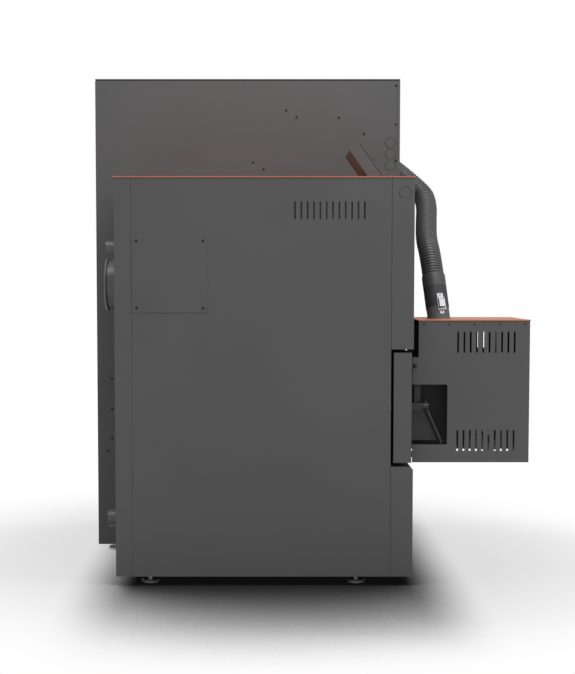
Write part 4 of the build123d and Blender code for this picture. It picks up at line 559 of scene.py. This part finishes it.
# Pellet hose: a soft plastic tube wound round a stiff spiral, from the feeder's chute inside the
# hopper out through its front panel and down to the cuff on the burner's spigot.
hose_route = [
    (0.0156, -0.3090, 1.2780),
    (0.0156, -0.4061, 1.2041),
    (-0.0244, -0.4180, 1.1560),
    (-0.0844, -0.4090, 1.0980),
    (-0.1464, -0.4020, 1.0380),
    (-0.2127, -0.4081, 0.9838),
    (-0.2504, -0.4175, 0.8820),
]
hose_line = bpy.data.curves.new("pellet hose line", "CURVE")
hose_line.dimensions = "3D"
hose_line.resolution_u = 40
spline = hose_line.splines.new("NURBS")
spline.points.add(len(hose_route) - 1)
for point, place in zip(spline.points, hose_route):
    point.co = (*place, 1)
spline.order_u = 3
spline.use_endpoint_u = True
line_carrier = bpy.data.objects.new("pellet hose line", hose_line)
scene.collection.objects.link(line_carrier)
bpy.context.view_layer.update()
drawn = line_carrier.evaluated_get(bpy.context.evaluated_depsgraph_get())
line_mesh = bpy.data.meshes.new_from_object(drawn)

hose_sizes = {
    "Crest Radius": 0.0340,
    "Valley Radius": 0.0312,
    "Start Radius": 0.0330,
    "Collar Radius": 0.0366,
    "Bore Radius": 0.0290,
    "Spiral Pitch": 0.0090,
    "Plain End": 0.0400,
}
hose_tree = bpy.data.node_groups.new("spiral hose along a line", "GeometryNodeTree")
sockets = hose_tree.interface
line_in = sockets.new_socket("Line", in_out="INPUT", socket_type="NodeSocketObject")
outer_in = sockets.new_socket("Outer Rings", in_out="INPUT", socket_type="NodeSocketInt")
inner_in = sockets.new_socket("Inner Rings", in_out="INPUT", socket_type="NodeSocketInt")
points_in = sockets.new_socket("Ring Points", in_out="INPUT", socket_type="NodeSocketInt")
size_in = {}
for name in hose_sizes:
    size_in[name] = sockets.new_socket(name, in_out="INPUT", socket_type="NodeSocketFloat")
plastic_in = sockets.new_socket("Plastic", in_out="INPUT", socket_type="NodeSocketMaterial")
sockets.new_socket("Hose", in_out="OUTPUT", socket_type="NodeSocketGeometry")
given = hose_tree.nodes.new("NodeGroupInput")


def calculate(operation, *values):
    """A Math node in the hose's tree on numbers or on other nodes' outputs."""
    node = hose_tree.nodes.new("ShaderNodeMath")
    node.operation = operation
    for socket, value in zip(node.inputs, values):
        if isinstance(value, (int, float)):
            socket.default_value = value
        else:
            hose_tree.links.new(value, socket)
    return node.outputs[0]


def vector_sum(operation, first, second):
    """A Vector Math node in the hose's tree; SCALE takes a number second."""
    node = hose_tree.nodes.new("ShaderNodeVectorMath")
    node.operation = operation
    hose_tree.links.new(first, node.inputs[0])
    hose_tree.links.new(second, node.inputs["Scale"] if operation == "SCALE" else node.inputs[1])
    return node.outputs[0]


model = hose_tree.nodes.new("GeometryNodeObjectInfo")
hose_tree.links.new(given.outputs["Line"], model.inputs["Object"])
span = hose_tree.nodes.new("GeometryNodeCurveLength")
hose_tree.links.new(model.outputs["Geometry"], span.inputs["Curve"])
outer, inner = given.outputs["Outer Rings"], given.outputs["Inner Rings"]
last_ring = calculate("ADD", calculate("ADD", outer, inner), 2)
flat_skin = hose_tree.nodes.new("GeometryNodeMeshGrid")
flat_skin.inputs["Size X"].default_value = 1
flat_skin.inputs["Size Y"].default_value = 1
hose_tree.links.new(calculate("ADD", last_ring, 1), flat_skin.inputs["Vertices X"])
hose_tree.links.new(calculate("ADD", given.outputs["Ring Points"], 1), flat_skin.inputs["Vertices Y"])
spot = hose_tree.nodes.new("GeometryNodeInputPosition")
share = hose_tree.nodes.new("ShaderNodeSeparateXYZ")
hose_tree.links.new(spot.outputs["Position"], share.inputs["Vector"])
ring = calculate("ROUND", calculate("MULTIPLY", calculate("ADD", share.outputs["X"], 0.5), last_ring))
turn = calculate("ADD", share.outputs["Y"], 0.5)
past_outer = calculate("GREATER_THAN", ring, calculate("ADD", outer, 0.5))
is_seam = calculate("GREATER_THAN", ring, calculate("SUBTRACT", last_ring, 0.5))
is_bore = calculate("SUBTRACT", past_outer, is_seam)
way_out = calculate("DIVIDE", ring, outer)
bore_ring = calculate("SUBTRACT", calculate("SUBTRACT", ring, outer), 1)
way_back = calculate("SUBTRACT", 1, calculate("DIVIDE", bore_ring, inner))
on_skin = calculate("MULTIPLY", way_out, calculate("SUBTRACT", 1, past_outer))
on_line = calculate("ADD", on_skin, calculate("MULTIPLY", way_back, is_bore))
distance = calculate("MULTIPLY", on_line, span.outputs["Length"])
sample = hose_tree.nodes.new("GeometryNodeSampleCurve")
sample.mode = "LENGTH"
hose_tree.links.new(model.outputs["Geometry"], sample.inputs["Curves"])
hose_tree.links.new(distance, sample.inputs["Length"])
turns = calculate("DIVIDE", distance, given.outputs["Spiral Pitch"])
phase = calculate("FRACT", calculate("ADD", turns, turn))
from_valley = calculate("MULTIPLY", calculate("ABSOLUTE", calculate("SUBTRACT", phase, 0.5)), 2)
crest = hose_tree.nodes.new("ShaderNodeMapRange")
crest.interpolation_type = "SMOOTHSTEP"
rib_foot, rib_top, fade_length = 0.72, 0.42, 0.006
crest.inputs["From Min"].default_value = rib_foot
crest.inputs["From Max"].default_value = rib_top
hose_tree.links.new(from_valley, crest.inputs["Value"])
to_far_end = calculate("SUBTRACT", span.outputs["Length"], distance)
to_near_end = calculate("MINIMUM", distance, to_far_end)
past_plain = calculate("SUBTRACT", to_near_end, given.outputs["Plain End"])
fade = hose_tree.nodes.new("ShaderNodeMapRange")
fade.inputs["From Max"].default_value = fade_length
hose_tree.links.new(past_plain, fade.inputs["Value"])
rise = calculate("SUBTRACT", given.outputs["Crest Radius"], given.outputs["Valley Radius"])
ribbed = calculate("MULTIPLY_ADD", crest.outputs["Result"], rise, given.outputs["Valley Radius"])
at_collar = calculate("GREATER_THAN", distance, to_far_end)
swell = calculate("SUBTRACT", given.outputs["Collar Radius"], given.outputs["Start Radius"])
plain = calculate("MULTIPLY_ADD", at_collar, swell, given.outputs["Start Radius"])
above_plain = calculate("SUBTRACT", ribbed, plain)
skin_radius = calculate("MULTIPLY_ADD", fade.outputs["Result"], above_plain, plain)
to_bore = calculate("SUBTRACT", given.outputs["Bore Radius"], skin_radius)
inward = calculate("MULTIPLY", is_bore, to_bore)
radius = calculate("ADD", skin_radius, inward)
angle = calculate("MULTIPLY", turn, 2 * math.pi)
across = sample.outputs["Normal"]
upward = vector_sum("CROSS_PRODUCT", sample.outputs["Tangent"], across)
outward = vector_sum(
    "ADD",
    vector_sum("SCALE", across, calculate("COSINE", angle)),
    vector_sum("SCALE", upward, calculate("SINE", angle)),
)
rolled_place = vector_sum("ADD", sample.outputs["Position"], vector_sum("SCALE", outward, radius))
# Painted light on the hose: the stored rib value is 1 on the rib crests, 0 in the valleys and in the
# bore, and 0.5 along the plain ends. The hose material uses it to paint the crests lighter and the
# valleys darker, standing in for the shade between the ribs.
on_ribs = calculate("MULTIPLY", crest.outputs["Result"], fade.outputs["Result"])
on_plain = calculate("MULTIPLY", calculate("SUBTRACT", 1, fade.outputs["Result"]), 0.5)
on_outside = calculate("SUBTRACT", 1, is_bore)
painted_rib_light = calculate("MULTIPLY", calculate("ADD", on_ribs, on_plain), on_outside)
marked = hose_tree.nodes.new("GeometryNodeStoreNamedAttribute")
marked.data_type = "FLOAT"
marked.domain = "POINT"
marked.inputs["Name"].default_value = "painted_rib_light"
hose_tree.links.new(flat_skin.outputs["Mesh"], marked.inputs["Geometry"])
hose_tree.links.new(painted_rib_light, [s for s in marked.inputs if s.name == "Value" and s.enabled][0])
rolled = hose_tree.nodes.new("GeometryNodeSetPosition")
hose_tree.links.new(marked.outputs["Geometry"], rolled.inputs["Geometry"])
hose_tree.links.new(rolled_place, rolled.inputs["Position"])
closed = hose_tree.nodes.new("GeometryNodeMergeByDistance")
seam_reach = 0.00001
closed.inputs["Distance"].default_value = seam_reach
hose_tree.links.new(rolled.outputs["Geometry"], closed.inputs["Geometry"])
smooth = hose_tree.nodes.new("GeometryNodeSetShadeSmooth")
hose_tree.links.new(closed.outputs["Geometry"], smooth.inputs["Geometry"])
real = hose_tree.nodes.new("GeometryNodeRealizeInstances")
hose_tree.links.new(smooth.outputs["Geometry"], real.inputs["Geometry"])
finished = hose_tree.nodes.new("GeometryNodeSetMaterial")
hose_tree.links.new(real.outputs["Geometry"], finished.inputs["Geometry"])
hose_tree.links.new(given.outputs["Plastic"], finished.inputs["Material"])
result = hose_tree.nodes.new("NodeGroupOutput")
hose_tree.links.new(finished.outputs["Geometry"], result.inputs["Hose"])

hose_plastic = bpy.data.materials.new("hose plastic")
hose_plastic.use_nodes = True
tree = hose_plastic.node_tree
skin = tree.nodes["Principled BSDF"]
skin.inputs["Roughness"].default_value = 0.38
# Painted shade between the ribs: the stored rib value turns the valleys darker and the crests lighter.
height = tree.nodes.new("ShaderNodeAttribute")
height.attribute_name = "painted_rib_light"
tone = tree.nodes.new("ShaderNodeValToRGB")
tone.color_ramp.elements[0].position = 0.0
tone.color_ramp.elements[0].color = (0.034, 0.0345, 0.036, 1)
tone.color_ramp.elements[1].position = 1.0
tone.color_ramp.elements[1].color = (0.068, 0.069, 0.071, 1)
tree.links.new(height.outputs["Fac"], tone.inputs["Fac"])
tree.links.new(tone.outputs["Color"], skin.inputs["Base Color"])

winder = bpy.data.objects.new("hose winder", bpy.data.meshes.new("hose winder"))
scene.collection.objects.link(winder)
rule = winder.modifiers.new("spiral hose", "NODES")
rule.node_group = hose_tree
rule[line_in.identifier] = line_carrier
outer_rings, inner_rings, ring_points = 663, 82, 44
rule[outer_in.identifier] = outer_rings
rule[inner_in.identifier] = inner_rings
rule[points_in.identifier] = ring_points
for name, length in hose_sizes.items():
    rule[size_in[name].identifier] = length
rule[plastic_in.identifier] = hose_plastic
bpy.context.view_layer.update()
wound = winder.evaluated_get(bpy.context.evaluated_depsgraph_get())
hose_mesh = bpy.data.meshes.new_from_object(wound)
winder.modifiers.remove(rule)
bpy.data.objects.remove(winder)
bpy.data.objects.remove(line_carrier)
hose_shell = bmesh.new()
hose_shell.from_mesh(hose_mesh)
if hose_shell.calc_volume(signed=True) < 0:
    bmesh.ops.reverse_faces(hose_shell, faces=hose_shell.faces)
hose_shell.to_mesh(hose_mesh)
hose_shell.free()
hose_mesh.name = "ribbed_pellet_hose"
pellet_hose = bpy.data.objects.new("ribbed_pellet_hose", hose_mesh)
scene.collection.objects.link(pellet_hose)
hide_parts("pellet_hose")
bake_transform(pellet_hose)

# Cuff and toggle latch: a rubber sleeve on the burner's spigot with a neck into the hose, and a
# bright zinc-plated latch whose lever pulls the wire bail up against it.
dress(["hose_cuff"], moulded_plastic("cuff rubber", (0.03, 0.03, 0.032), 0.6))
dress(["latch_plates", "latch_lever", "latch_bail"], zinc)
